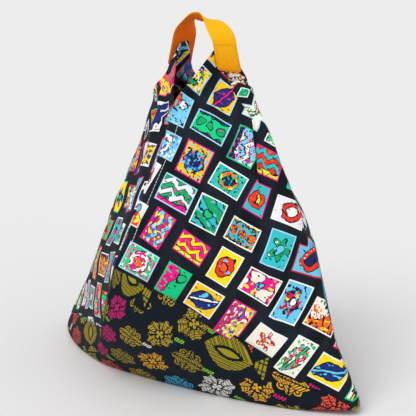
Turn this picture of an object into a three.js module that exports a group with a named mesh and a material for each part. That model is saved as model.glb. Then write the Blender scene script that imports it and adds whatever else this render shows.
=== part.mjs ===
// Bento bag folded from three square cloths: a base cloth that stands on the table and two
// wings whose tips are joined by a short webbing handle. Millimetres, +Z up, front towards -Y.
// Apart from its lean to the right the bag looks the same after half a turn about Z, so the back
// pieces repeat the front ones.
import * as THREE from 'three';

// Body of the bag
const TIP_HEIGHT = 431;         // top edge of both cloth tips
const CORNER_REACH = 244;       // pointed base corner, from the middle along X
const CORNER_SHIFT = 8;         // the corner lies this far in front of the middle
const CORNER_HEIGHT = 12;       // seam height at the pointed corner
const BELLY_REACH = 84;         // front corner of the base, from the middle
const BELLY_SHIFT = 95;         // that corner lies this far to the left
const SLIT_HEIGHT = 182;        // foot of the slit, where both hems start
const SLIT_REACH = 180;         // foot of the slit, in front of the middle
const SLIT_SHIFT = 11;
const TUCK_HEIGHT = 80;         // the side seam runs under the front fold at this height
const RIDGE_SWELL = 6;          // how far the folded ridges bow outwards
const HEM_DIP = 6;              // how far the hems bow inwards
const NECK_REACH = 38;          // front of the bag's outline at tip height
const NECK_SHIFT = 22;
const RIDGE_TOP = 48;           // ridge of the bag's outline at tip height
const LEAN = 9.8;               // the soft middle of the bag leans this far to the right
const LEAN_FOOT = 50;           // the lean starts at this height,
const LEAN_FULL = 200;          // is full from here
const LEAN_END = 300;           // up to here, and is gone where the tips start

// Roundness of the cross-section: 1 is straight between corners, 2 is elliptical
const ROUND_FRONT = 1.28;
const ROUND_SIDE = 1.14;
const ROUND_FRONT_BASE = 1.75;
const ROUND_SIDE_BASE = 1.35;

// Tips, where the cloth lies flat for the handle
const TIP_SPREAD = 42;          // cloth face of a tip, from the middle
const TIP_TURN = THREE.MathUtils.degToRad(10);
const TIP_FLAT = 43;            // height of the flat part
const TIP_GATHER = 50;          // height over which the wing gathers into the flat part
const TIP_LEAD = 4;             // half of the narrow top edge, towards the slit
const TIP_TRAIL = 4;            // half of the narrow top edge, towards the other hem
const LEAD_FLARE = 1.17;        // sideways run of each edge for each millimetre down
const TRAIL_FLARE = 0.7;
const RIDGE_SHARE = 0.8;        // the folded ridge runs out this far across the tip

// Soft folds of each wing's side half, which has no pleat
const SIDE_FOLD = 3.2;          // height of a fold above and below the smooth side
const FOLD_COUNT = 1.5;         // folds between ridge and slit
const FOLD_RISE = 280;          // height over which the folds move on by one
const FOLD_FOOT = 120;          // the folds start at this height
const FOLD_FULL = 200;          // and are full from here

// Cloth, seams and hems
const CLOTH = 0.6;
const LINING = 0.5;
const FIT_GAP = 0.3;            // between touching pieces
const SEAM_GAP = 0.4;
const HEM_WIDTH = 14;           // hem edge to its row of stitches
const THREAD = 0.7;
const LAP_SLACK = 1.2;          // air between the two laps of the slit
const LAP_FOOT = THREE.MathUtils.degToRad(6);
const LAP_MIDDLE = THREE.MathUtils.degToRad(9);
const LAP_TOP = 365;            // the laps part at this height
const LAP_NEAR = THREE.MathUtils.degToRad(48);    // from here to the next turn the cloth stands off
const LAP_FULL = THREE.MathUtils.degToRad(76);
const LAP_START = 64;           // below this height the laps settle onto each other
const BASE_EDGE = 4;            // roll from the flat base into the walls

// Handle
const STRAP_WIDTH = 38;
const WEBBING = 1.8;
const RIBBON = 1;               // facing on the inside of the webbing
const STRAP_SEWN = 36;          // sewn length on each tip
const SHOULDER = 6;             // straight part above the tips
const CREST_HEIGHT = 34;        // top of the handle above the tips
const CREST_LIFT = 0.45;        // the arch leaves the shoulders upright over this share of its height
const CREST_FLANK = 0.25;       // and reaches the crest level over this share of its half width
const STITCH_INSET = 3;         // stitches from the webbing's edges
const STITCH_WIDTH = 1;

// Sampling of the cloth
const FRONT_STEPS = [-60, -46, -32, -20, -10];
const SIDE_STEPS = [0, 10, 20, 30, 39, 48, 57, 66];
const LOW_ROWS = 4;
const HIGH_ROWS = 4;
const WING_ROWS = 10;
const TIP_ROWS = 3;
const BASE_RINGS = [0.4, 0.75, 0.96];
const TUCK_STEP = THREE.MathUtils.degToRad(4);
const TUCK_EDGE = THREE.MathUtils.degToRad(1.5);
const PROBE = 2;                // distance over which surface directions are measured
const PROBE_TURN = THREE.MathUtils.degToRad(1.5);
const CREST_SEGMENTS = 14;
const HALVINGS = 26;            // steps to find the line of stitches

const QUARTER = Math.PI / 2;
const SWELL_PEAK = 27 / 4;      // makes part * (1 - part)^2 reach 1
const { lerp, smoothstep, clamp, degToRad } = THREE.MathUtils;
const STACK = CLOTH + FIT_GAP + LINING;
const LAP_STAND = (STACK + THREAD + FIT_GAP + LAP_SLACK) / 2;
const TIP_FOOT = TIP_HEIGHT - TIP_FLAT;
const TIP_START = TIP_FOOT - TIP_GATHER;

// Materials
const printed = new THREE.MeshStandardMaterial({ color: 0x1d2433, roughness: 0.9, metalness: 0 });
const woven = new THREE.MeshStandardMaterial({ color: 0x14222f, roughness: 0.92, metalness: 0 });
const webbing = new THREE.MeshStandardMaterial({ color: 0xf7b500, roughness: 0.8, metalness: 0 });
const ribbon = new THREE.MeshStandardMaterial({ color: 0xdf5a0c, roughness: 0.85, metalness: 0 });
const thread = new THREE.MeshStandardMaterial({ color: 0xc9ccd1, roughness: 0.7, metalness: 0 });

// Corner of the cross-section under and above the foot of the slit.
function slitCorner(z) {
  if (z < SLIT_HEIGHT) {
    const part = clamp(z / SLIT_HEIGHT, 0, 1);
    const bow = Math.sin(QUARTER * part);
    const x = lerp(-BELLY_SHIFT, SLIT_SHIFT, (part + bow) / 2);
    return new THREE.Vector2(x, -lerp(BELLY_REACH, SLIT_REACH, bow));
  }
  const part = (z - SLIT_HEIGHT) / (TIP_HEIGHT - SLIT_HEIGHT);
  const dip = HEM_DIP * Math.sin(Math.PI * clamp(part, 0, 1));
  return new THREE.Vector2(lerp(SLIT_SHIFT, NECK_SHIFT, part), dip - lerp(SLIT_REACH, NECK_REACH, part));
}

// Corner of the cross-section along the folded ridge of a wing.
function ridgeCorner(z) {
  const part = clamp((z - CORNER_HEIGHT) / (TIP_HEIGHT - CORNER_HEIGHT), 0, 1);
  const swell = RIDGE_SWELL * SWELL_PEAK * part * (1 - part) ** 2;
  return new THREE.Vector2(lerp(CORNER_REACH, RIDGE_TOP, part) + swell, -CORNER_SHIFT * (1 - part));
}

// Point of the closed bag at a turn about Z: 0 is the right ridge, -90 degrees the slit.
function bodyPoint(turn, z) {
  const along = Math.cos(turn);
  const across = Math.sin(turn);
  const front = along * across < 0;
  const soft = 1 - smoothstep(z, 0, front ? SLIT_HEIGHT : TUCK_HEIGHT);
  const round = front ? lerp(ROUND_FRONT, ROUND_FRONT_BASE, soft) : lerp(ROUND_SIDE, ROUND_SIDE_BASE, soft);
  const ridge = ridgeCorner(z).multiplyScalar(Math.sign(along) * Math.abs(along) ** (2 / round));
  const slit = slitCorner(z).multiplyScalar(-Math.sign(across) * Math.abs(across) ** (2 / round));
  return new THREE.Vector3(ridge.x + slit.x, ridge.y + slit.y, z);
}

// How far the hems pass each other at the slit, as a turn about Z.
function lapAt(z) {
  const part = clamp((z - SLIT_HEIGHT) / (LAP_TOP - SLIT_HEIGHT), 0, 1);
  return lerp(LAP_FOOT, LAP_MIDDLE, Math.sin(Math.PI * part));
}

// Point of the front wing, which gathers into a flat tip for the handle.
function wingPoint(turn, z) {
  const body = bodyPoint(turn, z);
  const gathered = smoothstep(z, TIP_START, TIP_FOOT);
  const edge = QUARTER + lapAt(z);
  const half = turn / edge;
  const share = half < 0 ? RIDGE_SHARE * (1 + half) : lerp(RIDGE_SHARE, 1, half);
  const drop = TIP_HEIGHT - z;
  const side = lerp(-TIP_LEAD - LEAD_FLARE * drop, TIP_TRAIL + TRAIL_FLARE * drop, share);
  const x = TIP_SPREAD * Math.cos(TIP_TURN) + side * Math.sin(TIP_TURN);
  const y = side * Math.cos(TIP_TURN) - TIP_SPREAD * Math.sin(TIP_TURN);
  return body.lerp(new THREE.Vector3(x, y, z), gathered);
}

// Outward direction of a surface given by turn and height.
function outward(surface, turn, z) {
  const round = surface(turn + PROBE_TURN, z).sub(surface(turn - PROBE_TURN, z));
  const up = surface(turn, z + PROBE).sub(surface(turn, z - PROBE));
  return round.cross(up).normalize();
}

// The front lap stands out from the slit and the back lap lies under it.
function lapStand(turn, z) {
  const inner = turn > 0;
  const near = smoothstep(Math.abs(turn), LAP_NEAR, LAP_FULL);
  const height = smoothstep(z, BASE_EDGE, LAP_START) * (1 - smoothstep(z, TIP_START, TIP_FOOT));
  return (inner ? -LAP_STAND : LAP_STAND) * near * height;
}

// Soft folds that run up the side half of a wing, between its ridge and its under hem.
function sideFold(turn, z) {
  const share = Math.max(Math.sin(turn), 0) ** (2 / ROUND_SIDE);
  const across = smoothstep(share, 0.05, 0.35) * (1 - smoothstep(share, 0.72, 0.92));
  const up = smoothstep(z, FOLD_FOOT, FOLD_FULL) * (1 - smoothstep(z, TIP_START, TIP_FOOT));
  const wave = Math.sin(2 * Math.PI * (share * FOLD_COUNT + z / FOLD_RISE));
  return turn > 0 && turn < QUARTER ? SIDE_FOLD * wave * across * up : 0;
}

// Height of the seam between a wing and the base.
function seamHeight(turn) {
  const front = turn < 0;
  const share = Math.sin(Math.min(Math.abs(turn), QUARTER)) ** (2 / (front ? ROUND_FRONT : ROUND_SIDE));
  return lerp(CORNER_HEIGHT, front ? SLIT_HEIGHT : TUCK_HEIGHT, share);
}

// Turn of the stitch row that runs one hem width from a hem.
function stitchTurn(side, z) {
  const hem = side * (QUARTER + lapAt(z));
  const edge = wingPoint(hem, z);
  let near = hem;
  let far = side * LAP_NEAR / 2;
  for (let halving = 0; halving < HALVINGS; halving += 1) {
    const middle = (near + far) / 2;
    if (wingPoint(middle, z).distanceTo(edge) < HEM_WIDTH) near = middle;
    else far = middle;
  }
  return far;
}

// Columns of the wing's cloth from the slit hem to the other hem, each a turn for a height.
const wingColumns = [
  (z) => -QUARTER - lapAt(z),
  () => -QUARTER,
  (z) => stitchTurn(-1, z),
  ...[...FRONT_STEPS, ...SIDE_STEPS].map((step) => () => degToRad(step)),
  (z) => stitchTurn(1, z),
  () => QUARTER,
  (z) => QUARTER + lapAt(z),
];
const SLIT_STITCH = 2;
const TRAIL_STITCH = wingColumns.length - 3;

// Rows of one wing column, from the base seam to the tip.
function wingColumn(columnTurn, stand) {
  const foot = seamHeight(columnTurn(SLIT_HEIGHT)) + SEAM_GAP;
  const column = [];
  for (let row = 0; row <= WING_ROWS + TIP_ROWS; row += 1) {
    const low = lerp(foot, TIP_FOOT, row / WING_ROWS);
    const z = row <= WING_ROWS ? low : lerp(TIP_FOOT, TIP_HEIGHT, (row - WING_ROWS) / TIP_ROWS);
    const turn = columnTurn(Math.max(z, SLIT_HEIGHT));
    const out = outward(wingPoint, turn, z);
    const rise = lapStand(turn, z) + sideFold(turn, z) + stand;
    column.push(wingPoint(turn, z).addScaledVector(out, rise));
  }
  return column;
}

function wingGrid(stand) {
  return wingColumns.map((columnTurn) => wingColumn(columnTurn, stand));
}

// Columns of half the base: turn, heights of its wall and which way it stands at the slit.
// Columns of the front wall are tall; those beside it stop at the side seam.
function baseColumns() {
  const tuckShare = (TUCK_HEIGHT - BASE_EDGE) / (SLIT_HEIGHT - BASE_EDGE);
  const short = (turn) => rowsBetween(BASE_EDGE, seamHeight(turn), LOW_ROWS);
  const tall = (turn) => {
    const top = seamHeight(turn);
    const low = lerp(BASE_EDGE, top, tuckShare);
    return [...rowsBetween(BASE_EDGE, low, LOW_ROWS), ...rowsBetween(low, top, HIGH_ROWS).slice(1)];
  };
  const fold = (way) => (turn, z) => way * Math.abs(lapStand(turn, z));
  const lapEdge = QUARTER - LAP_FOOT;
  const frontTurns = [stitchTurn(-1, SLIT_HEIGHT), ...FRONT_STEPS.map(degToRad)];
  const tuckTurn = lapEdge - TUCK_EDGE;
  return [
    ...[-QUARTER - LAP_FOOT, -QUARTER].map((turn) => ({ turn, heights: tall(turn), stand: fold(1) })),
    ...frontTurns.map((turn) => ({ turn, heights: tall(turn), stand: lapStand })),
    ...SIDE_STEPS.map(degToRad).map((turn) => ({ turn, heights: short(turn), stand: lapStand })),
    { turn: tuckTurn - TUCK_STEP, heights: short(tuckTurn - TUCK_STEP), stand: fold(-1) },
    { turn: tuckTurn, heights: short(tuckTurn), stand: fold(1) },
  ];
}

function rowsBetween(low, high, count) {
  return Array.from({ length: count + 1 }, (_, row) => lerp(low, high, row / count));
}

// One base column from near the middle of the floor, over the rolled edge and up to the rim.
function baseColumn({ turn, heights, stand }, offset) {
  const floor = BASE_RINGS.map((ring) => bodyPoint(turn, 0).multiplyScalar(ring).setZ(-offset));
  const wall = heights.map((z) => {
    const out = outward(bodyPoint, turn, z);
    return bodyPoint(turn, z).addScaledVector(out, stand(turn, z) + offset);
  });
  return [...floor, ...wall];
}

function baseGrid(offset) {
  const half = baseColumns().map((column) => baseColumn(column, offset));
  const other = half.map((column) => column.map((point) => new THREE.Vector3(-point.x, -point.y, point.z)));
  return [...half, ...other];
}

// Triangles between neighbouring columns. After a tall column a short one gathers the rest of it;
// before a tall column a short one leaves the rest as a free edge.
function gridFaces(columns, closed) {
  const starts = [];
  let count = 0;
  columns.forEach((column) => {
    starts.push(count);
    count += column.length;
  });
  const faces = [];
  const spans = closed ? columns.length : columns.length - 1;
  for (let index = 0; index < spans; index += 1) {
    const next = (index + 1) % columns.length;
    const left = starts[index];
    const right = starts[next];
    const shared = Math.min(columns[index].length, columns[next].length);
    for (let row = 0; row < shared - 1; row += 1) {
      faces.push([left + row, right + row, right + row + 1], [left + row, right + row + 1, left + row + 1]);
    }
    for (let row = shared - 1; row < columns[index].length - 1; row += 1) {
      faces.push([left + row, right + shared - 1, left + row + 1]);
    }
    if (closed) faces.push([count, right, left]);
  }
  return faces;
}

// Closed solid between an outer and an inner sheet that share their triangles.
function clothSolid(outer, inner, faces) {
  const shift = outer.length;
  const edges = new Set(faces.flatMap(([a, b, c]) => [`${a} ${b}`, `${b} ${c}`, `${c} ${a}`]));
  const index = [];
  faces.forEach(([a, b, c]) => {
    index.push(a, b, c, a + shift, c + shift, b + shift);
    [[a, b], [b, c], [c, a]].forEach(([from, to]) => {
      if (edges.has(`${to} ${from}`)) return;
      index.push(to, from, from + shift, to, from + shift, to + shift);
    });
  });
  const geometry = new THREE.BufferGeometry().setFromPoints([...outer, ...inner]);
  geometry.setIndex(index);
  geometry.computeVertexNormals();
  return geometry;
}

function wingCloth(outerFace, thickness) {
  const outer = wingGrid(outerFace);
  const inner = wingGrid(outerFace - thickness);
  return clothSolid(outer.flat(), inner.flat(), gridFaces(outer, false));
}

function baseCloth(outerFace, thickness) {
  const outer = baseGrid(outerFace);
  const inner = baseGrid(outerFace - thickness);
  const middle = (face) => new THREE.Vector3(0, 0, -face);
  const outerPoints = [...outer.flat(), middle(outerFace)];
  const innerPoints = [...inner.flat(), middle(outerFace - thickness)];
  return clothSolid(outerPoints, innerPoints, gridFaces(outer, true));
}

// A row of stitches: one thread that lies on the cloth along a wing column, up to the gathered tip.
function hemStitch(index) {
  const rows = [1, WING_ROWS - 1];
  const cloth = wingColumn(wingColumns[index], 0).slice(...rows);
  const raised = wingColumn(wingColumns[index], FIT_GAP + THREAD).slice(...rows);
  const sides = cloth.map((point, row) => {
    const before = cloth[Math.max(row - 1, 0)];
    const after = cloth[Math.min(row + 1, cloth.length - 1)];
    const out = raised[row].clone().sub(point);
    return after.clone().sub(before).cross(out).setLength(THREAD / 2);
  });
  const face = (height) => {
    const line = wingColumn(wingColumns[index], height).slice(...rows);
    const left = line.map((point, row) => point.clone().sub(sides[row]));
    const right = line.map((point, row) => point.clone().add(sides[row]));
    return [left, right];
  };
  const outer = face(FIT_GAP + THREAD);
  const inner = face(FIT_GAP);
  return clothSolid(outer.flat(), inner.flat(), gridFaces(outer, false));
}

// Arch from one shoulder over the crest to the other.
function crestCurve(outline, reach, shoulder, rise) {
  const top = shoulder + rise;
  const lift = shoulder + rise * CREST_LIFT;
  const flank = reach * CREST_FLANK;
  outline.bezierCurveTo(reach, lift, flank, top, 0, top);
  outline.bezierCurveTo(-flank, top, -reach, lift, -reach, shoulder);
}

// Arched band of the handle between two faces, in its own frame: X across the bag, Z up.
function strapBand(innerFace, thickness) {
  const outerFace = innerFace + thickness;
  const foot = TIP_HEIGHT - STRAP_SEWN;
  const shoulder = TIP_HEIGHT + SHOULDER;
  const crest = CREST_HEIGHT - SHOULDER - WEBBING - RIBBON - 2 * FIT_GAP + innerFace - TIP_SPREAD;
  const outline = new THREE.Shape();
  outline.moveTo(outerFace, foot);
  outline.lineTo(outerFace, shoulder);
  crestCurve(outline, outerFace, shoulder, crest + thickness);
  outline.lineTo(-outerFace, foot);
  outline.lineTo(-innerFace, foot);
  outline.lineTo(-innerFace, shoulder);
  crestCurve(outline, -innerFace, shoulder, crest);
  outline.lineTo(innerFace, foot);
  const options = { depth: STRAP_WIDTH, bevelEnabled: false, curveSegments: CREST_SEGMENTS };
  const band = new THREE.ExtrudeGeometry(outline, options);
  band.translate(0, 0, -STRAP_WIDTH / 2);
  return band.rotateX(QUARTER);
}

// Rectangle of stitches round the sewn end of the webbing, lying on its outer face.
function endStitch(outerFace) {
  const wide = STRAP_WIDTH / 2 - STITCH_INSET;
  const tall = STRAP_SEWN / 2 - STITCH_INSET;
  const box = (target, half, height) => {
    target.moveTo(-half, -height);
    target.lineTo(half, -height);
    target.lineTo(half, height);
    target.lineTo(-half, height);
    return target;
  };
  const outline = box(new THREE.Shape(), wide, tall);
  outline.holes.push(box(new THREE.Path(), wide - STITCH_WIDTH, tall - STITCH_WIDTH));
  const ring = new THREE.ExtrudeGeometry(outline, { depth: THREAD, bevelEnabled: false });
  ring.rotateX(QUARTER);
  ring.rotateZ(QUARTER);
  return ring.translate(outerFace + FIT_GAP, 0, TIP_HEIGHT - STRAP_SEWN / 2);
}

// Lets a cloth lean with the bag: to its own right, or to its left where it is turned round.
function leaning(geometry, way) {
  const places = geometry.attributes.position;
  for (let index = 0; index < places.count; index += 1) {
    const z = places.getZ(index);
    const part = smoothstep(z, LEAN_FOOT, LEAN_FULL) * (1 - smoothstep(z, LEAN_END, TIP_FOOT));
    places.setX(index, places.getX(index) + way * LEAN * part);
  }
  geometry.computeVertexNormals();
  return geometry;
}

function piece(name, geometry, material) {
  const mesh = new THREE.Mesh(geometry, material);
  mesh.name = name;
  return mesh;
}

// One wing with its lining and the stitches of both hems.
function wingGroup(side, way) {
  const group = new THREE.Group();
  const lining = wingCloth(-CLOTH - FIT_GAP, LINING);
  group.add(piece(`${side}_wing`, leaning(wingCloth(0, CLOTH), way), printed));
  group.add(piece(`${side}_wing_lining`, leaning(lining, way), printed));
  group.add(piece(`${side}_slit_hem_stitch`, leaning(hemStitch(SLIT_STITCH), way), thread));
  group.add(piece(`${side}_under_hem_stitch`, leaning(hemStitch(TRAIL_STITCH), way), thread));
  return group;
}

function handleGroup() {
  const group = new THREE.Group();
  const ribbonFace = TIP_SPREAD + FIT_GAP;
  const webbingFace = ribbonFace + RIBBON + FIT_GAP;
  const outerFace = webbingFace + WEBBING;
  group.add(piece('handle_webbing', strapBand(webbingFace, WEBBING), webbing));
  group.add(piece('handle_facing', strapBand(ribbonFace, RIBBON), ribbon));
  group.add(piece('front_end_stitch', endStitch(outerFace), webbing));
  group.add(piece('back_end_stitch', endStitch(outerFace).rotateZ(Math.PI), webbing));
  group.rotation.z = -TIP_TURN;
  return group;
}

function buildBag() {
  const bag = new THREE.Group();
  bag.add(piece('base_cloth', leaning(baseCloth(0, CLOTH), 1), woven));
  bag.add(piece('base_lining', leaning(baseCloth(-CLOTH - FIT_GAP, LINING), 1), woven));
  bag.add(wingGroup('front', 1));
  const back = wingGroup('back', -1);
  back.rotation.z = Math.PI;
  bag.add(back);
  bag.add(handleGroup());
  return bag;
}

export default buildBag();
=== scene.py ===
"""Dressed bento bag: three folded cloths with linings, stitched hems and a short webbing handle."""
import logging
import math
from dataclasses import dataclass, field, replace
from enum import Enum
from typing import Callable, Sequence

import bpy
import numpy as np
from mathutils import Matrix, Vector


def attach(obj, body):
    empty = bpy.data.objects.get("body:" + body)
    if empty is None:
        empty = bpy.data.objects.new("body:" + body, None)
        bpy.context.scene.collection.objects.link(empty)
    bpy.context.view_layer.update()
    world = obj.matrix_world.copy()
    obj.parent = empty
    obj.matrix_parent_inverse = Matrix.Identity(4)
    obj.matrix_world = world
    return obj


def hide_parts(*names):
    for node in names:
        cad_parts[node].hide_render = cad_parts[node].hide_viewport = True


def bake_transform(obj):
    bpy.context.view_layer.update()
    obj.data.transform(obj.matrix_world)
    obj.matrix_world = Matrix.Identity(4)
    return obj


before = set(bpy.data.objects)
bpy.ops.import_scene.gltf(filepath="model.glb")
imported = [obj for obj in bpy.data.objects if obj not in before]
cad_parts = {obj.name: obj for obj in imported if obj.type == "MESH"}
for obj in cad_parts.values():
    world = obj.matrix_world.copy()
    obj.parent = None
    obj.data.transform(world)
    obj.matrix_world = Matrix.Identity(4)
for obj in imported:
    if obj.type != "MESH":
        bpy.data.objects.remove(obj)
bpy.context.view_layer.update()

LOG = logging.getLogger("bento_bag")
QUARTER = math.pi / 2
CLOTH_MAP = "cloth"
FLATTEN_PASSES = 90
FLATTEN_PULL = 0.11
THICKNESS_CLAMP = 0.8
Surface = Callable[[np.ndarray, np.ndarray], np.ndarray]


class Side(Enum):
    """Which wing of the bag a piece belongs to; the back is the front after half a turn."""

    FRONT = "front"
    BACK = "back"

    def place(self, points: np.ndarray) -> np.ndarray:
        """Points of the front turned to this side."""
        return points if self is Side.FRONT else points * np.array([-1.0, -1.0, 1.0])


class Hem(Enum):
    """The two free edges of a wing."""

    SLIT = "slit"
    UNDER = "under"


def shade(code: str) -> tuple[float, float, float, float]:
    """Linear colour of a hexadecimal screen colour.

    Args:
        code: six hexadecimal digits.

    Returns:
        Red, green, blue and alpha.
    """
    parts = [int(code[at:at + 2], 16) / 255 for at in (0, 2, 4)]
    red, green, blue = (p / 12.92 if p <= 0.04045 else ((p + 0.055) / 1.055) ** 2.4 for p in parts)
    return red, green, blue, 1.0


def ease(value: np.ndarray | float, low: float, high: float) -> np.ndarray:
    """Smooth step from 0 at low to 1 at high."""
    part = np.clip((np.asarray(value, float) - low) / (high - low), 0, 1)
    return part * part * (3 - 2 * part)


def lerp(start: np.ndarray | float, end: np.ndarray | float, part: np.ndarray | float) -> np.ndarray:
    """Straight mix of two values."""
    return start + (end - start) * np.asarray(part)


def between(value: np.ndarray | float, rise: tuple[float, float], fall: tuple[float, float]) -> np.ndarray:
    """1 between a smooth rise and a smooth fall, and 0 outside them."""
    return ease(value, *rise) * (1 - ease(value, *fall))


def lengths_along(path: np.ndarray) -> np.ndarray:
    """Length from the start of a path to each of its points."""
    return np.concatenate([[0], np.cumsum(np.linalg.norm(np.diff(path, axis=0), axis=-1))])


def at_length(values: np.ndarray, run: np.ndarray, place: float) -> np.ndarray:
    """Vector at a length along a path.

    Args:
        values: one vector for each point of the path.
        run: length from the start to each point.
        place: the length asked for.

    Returns:
        The vector there.
    """
    return np.array([np.interp(place, run, values[:, axis]) for axis in range(3)])


@dataclass(frozen=True)
class Ripple:
    """A run of soft waves in a cloth."""

    height: float
    across: float
    up: float
    phase: float = 0.0

    def at(self, along: np.ndarray | float, z: np.ndarray) -> np.ndarray:
        """Height of the waves at a place along the cloth and a height above the floor."""
        return self.height * np.sin(along * self.across + z * self.up + self.phase)


class Field:
    """A value that varies over the cloth, written with plain arithmetic."""

    def __init__(self, loom: "Loom", socket: bpy.types.NodeSocket) -> None:
        """Holds one node output of a finish.

        Args:
            loom: the finish that the output belongs to.
            socket: the output itself.
        """
        self.loom = loom
        self.socket = socket

    def __add__(self, other: "Field | float") -> "Field":
        """Sum."""
        return self.loom.math("ADD", self, other)

    def __radd__(self, other: float) -> "Field":
        """Sum."""
        return self.loom.math("ADD", other, self)

    def __sub__(self, other: "Field | float") -> "Field":
        """Difference."""
        return self.loom.math("SUBTRACT", self, other)

    def __rsub__(self, other: float) -> "Field":
        """Difference."""
        return self.loom.math("SUBTRACT", other, self)

    def __mul__(self, other: "Field | float") -> "Field":
        """Product."""
        return self.loom.math("MULTIPLY", self, other)

    def __truediv__(self, other: "Field | float") -> "Field":
        """Quotient."""
        return self.loom.math("DIVIDE", self, other)

    def __lt__(self, other: "Field | float") -> "Field":
        """1 where this is smaller."""
        return self.loom.math("LESS_THAN", self, other)

    def __gt__(self, other: "Field | float") -> "Field":
        """1 where this is larger."""
        return self.loom.math("GREATER_THAN", self, other)

    def __abs__(self) -> "Field":
        """Size without sign."""
        return self.loom.math("ABSOLUTE", self)

    def whole(self) -> "Field":
        """Whole part, rounded down."""
        return self.loom.math("FLOOR", self)

    def part(self) -> "Field":
        """What the whole part leaves."""
        return self.loom.math("FRACT", self)

    def wave(self) -> "Field":
        """Sine."""
        return self.loom.math("SINE", self)

    def most(self, other: "Field | float") -> "Field":
        """The larger of two."""
        return self.loom.math("MAXIMUM", self, other)


Colour = Field | Sequence[float]


class Loom:
    """Node tree of one finish."""

    BUMP_STRENGTH = 0.6
    SPECULAR = 0.15

    def __init__(self, name: str) -> None:
        """Starts a new material.

        Args:
            name: the material's name.
        """
        self.material = bpy.data.materials.new(name)
        self.material.use_nodes = True
        self.tree = self.material.node_tree
        self.shader = self.tree.nodes["Principled BSDF"]

    def node(self, kind: str, **settings: object) -> bpy.types.Node:
        """A new node.

        Args:
            kind: the node's type.
            settings: its attributes.

        Returns:
            The node.
        """
        made = self.tree.nodes.new(kind)
        for name, value in settings.items():
            setattr(made, name, value)
        return made

    def feed(self, socket: bpy.types.NodeSocket, value: "Field | float | Sequence[float]") -> None:
        """Links a field to a socket, or sets a plain value on it.

        Args:
            socket: an input of a node.
            value: what it gets.
        """
        if isinstance(value, Field):
            self.tree.links.new(value.socket, socket)
        else:
            socket.default_value = value

    def math(self, operation: str, *values: "Field | float") -> Field:
        """One arithmetic step.

        Args:
            operation: the step's name.
            values: what it works on.

        Returns:
            Its result.
        """
        made = self.node("ShaderNodeMath", operation=operation)
        for socket, value in zip(made.inputs, values):
            self.feed(socket, value)
        return Field(self, made.outputs[0])

    def mix(self, share: Field, first: Colour, second: Colour) -> Field:
        """Mix of two colours.

        Args:
            share: 0 gives the first and 1 the second.
            first: a colour.
            second: a colour.

        Returns:
            The mixed colour.
        """
        made = self.node("ShaderNodeMix", data_type="RGBA")
        self.feed(made.inputs[0], share)
        self.feed(made.inputs[6], first)
        self.feed(made.inputs[7], second)
        return Field(self, made.outputs[2])

    def scaled(self, colour: Field, amount: Field) -> Field:
        """A colour made lighter or darker by an amount.

        Args:
            colour: the colour.
            amount: 1 leaves it as it is.

        Returns:
            The changed colour.
        """
        made = self.node("ShaderNodeVectorMath", operation="SCALE")
        self.feed(made.inputs[0], colour)
        self.feed(made.inputs[3], amount)
        return Field(self, made.outputs[0])

    def cloth(self) -> tuple[Field, Field]:
        """Place on the flat cloth.

        Returns:
            Metres across and along.
        """
        place = self.node("ShaderNodeUVMap", uv_map=CLOTH_MAP)
        parts = self.node("ShaderNodeSeparateXYZ")
        self.tree.links.new(place.outputs[0], parts.inputs[0])
        return Field(self, parts.outputs[0]), Field(self, parts.outputs[1])

    def point(self, x: "Field | float", y: "Field | float", z: "Field | float" = 0.0) -> Field:
        """Three values as one place.

        Args:
            x: the first value.
            y: the second value.
            z: the third value.

        Returns:
            The place.
        """
        made = self.node("ShaderNodeCombineXYZ")
        for socket, value in zip(made.inputs, (x, y, z)):
            self.feed(socket, value)
        return Field(self, made.outputs[0])

    def chance(self, x: Field, y: Field, seed: float) -> tuple[Field, Field, Field]:
        """Three fixed random numbers for a cell of the pattern.

        Args:
            x: number of the cell's column.
            y: number of its row.
            seed: another seed gives other numbers.

        Returns:
            The numbers, from 0 to 1.
        """
        made = self.node("ShaderNodeTexWhiteNoise", noise_dimensions="3D")
        self.feed(made.inputs["Vector"], self.point(x, y, seed))
        parts = self.node("ShaderNodeSeparateColor")
        self.tree.links.new(made.outputs["Color"], parts.inputs[0])
        return tuple(Field(self, socket) for socket in parts.outputs[:3])

    def noise(self, place: Field, scale: float, detail: float = 2.0) -> Field:
        """Soft noise between 0 and 1.

        Args:
            place: where it is read.
            scale: waves for each metre.
            detail: octaves.

        Returns:
            The noise.
        """
        made = self.node("ShaderNodeTexNoise", noise_dimensions="3D")
        self.feed(made.inputs["Vector"], place)
        made.inputs["Scale"].default_value = scale
        made.inputs["Detail"].default_value = detail
        return Field(self, made.outputs[0])

    def choose(self, chance: Field, colours: Sequence[str]) -> Field:
        """One of several colours, picked by a random number.

        Args:
            chance: the random number.
            colours: hexadecimal colours, each as likely as the next.

        Returns:
            The colour.
        """
        made = self.node("ShaderNodeValToRGB")
        ramp = made.color_ramp
        ramp.interpolation = "CONSTANT"
        while len(ramp.elements) < len(colours):
            ramp.elements.new(0.5)
        for index, code in enumerate(colours):
            ramp.elements[index].position = index / len(colours)
            ramp.elements[index].color = shade(code)
        self.feed(made.inputs[0], chance)
        return Field(self, made.outputs[0])

    def finish(
        self, colour: Field, height: Field, depth: float, roughness: "Field | float",
    ) -> bpy.types.Material:
        """Joins colour, relief and roughness to the shader.

        Args:
            colour: the surface colour.
            height: relief between 0 and 1.
            depth: depth of the relief in metres.
            roughness: 0 is glossy and 1 matt.

        Returns:
            The finished material.
        """
        bump = self.node("ShaderNodeBump")
        bump.inputs["Strength"].default_value = self.BUMP_STRENGTH
        bump.inputs["Distance"].default_value = depth
        self.feed(bump.inputs["Height"], height)
        self.feed(self.shader.inputs["Base Color"], colour)
        self.feed(self.shader.inputs["Roughness"], roughness)
        self.tree.links.new(bump.outputs[0], self.shader.inputs["Normal"])
        self.shader.inputs["Specular IOR Level"].default_value = self.SPECULAR
        return self.material


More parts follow.
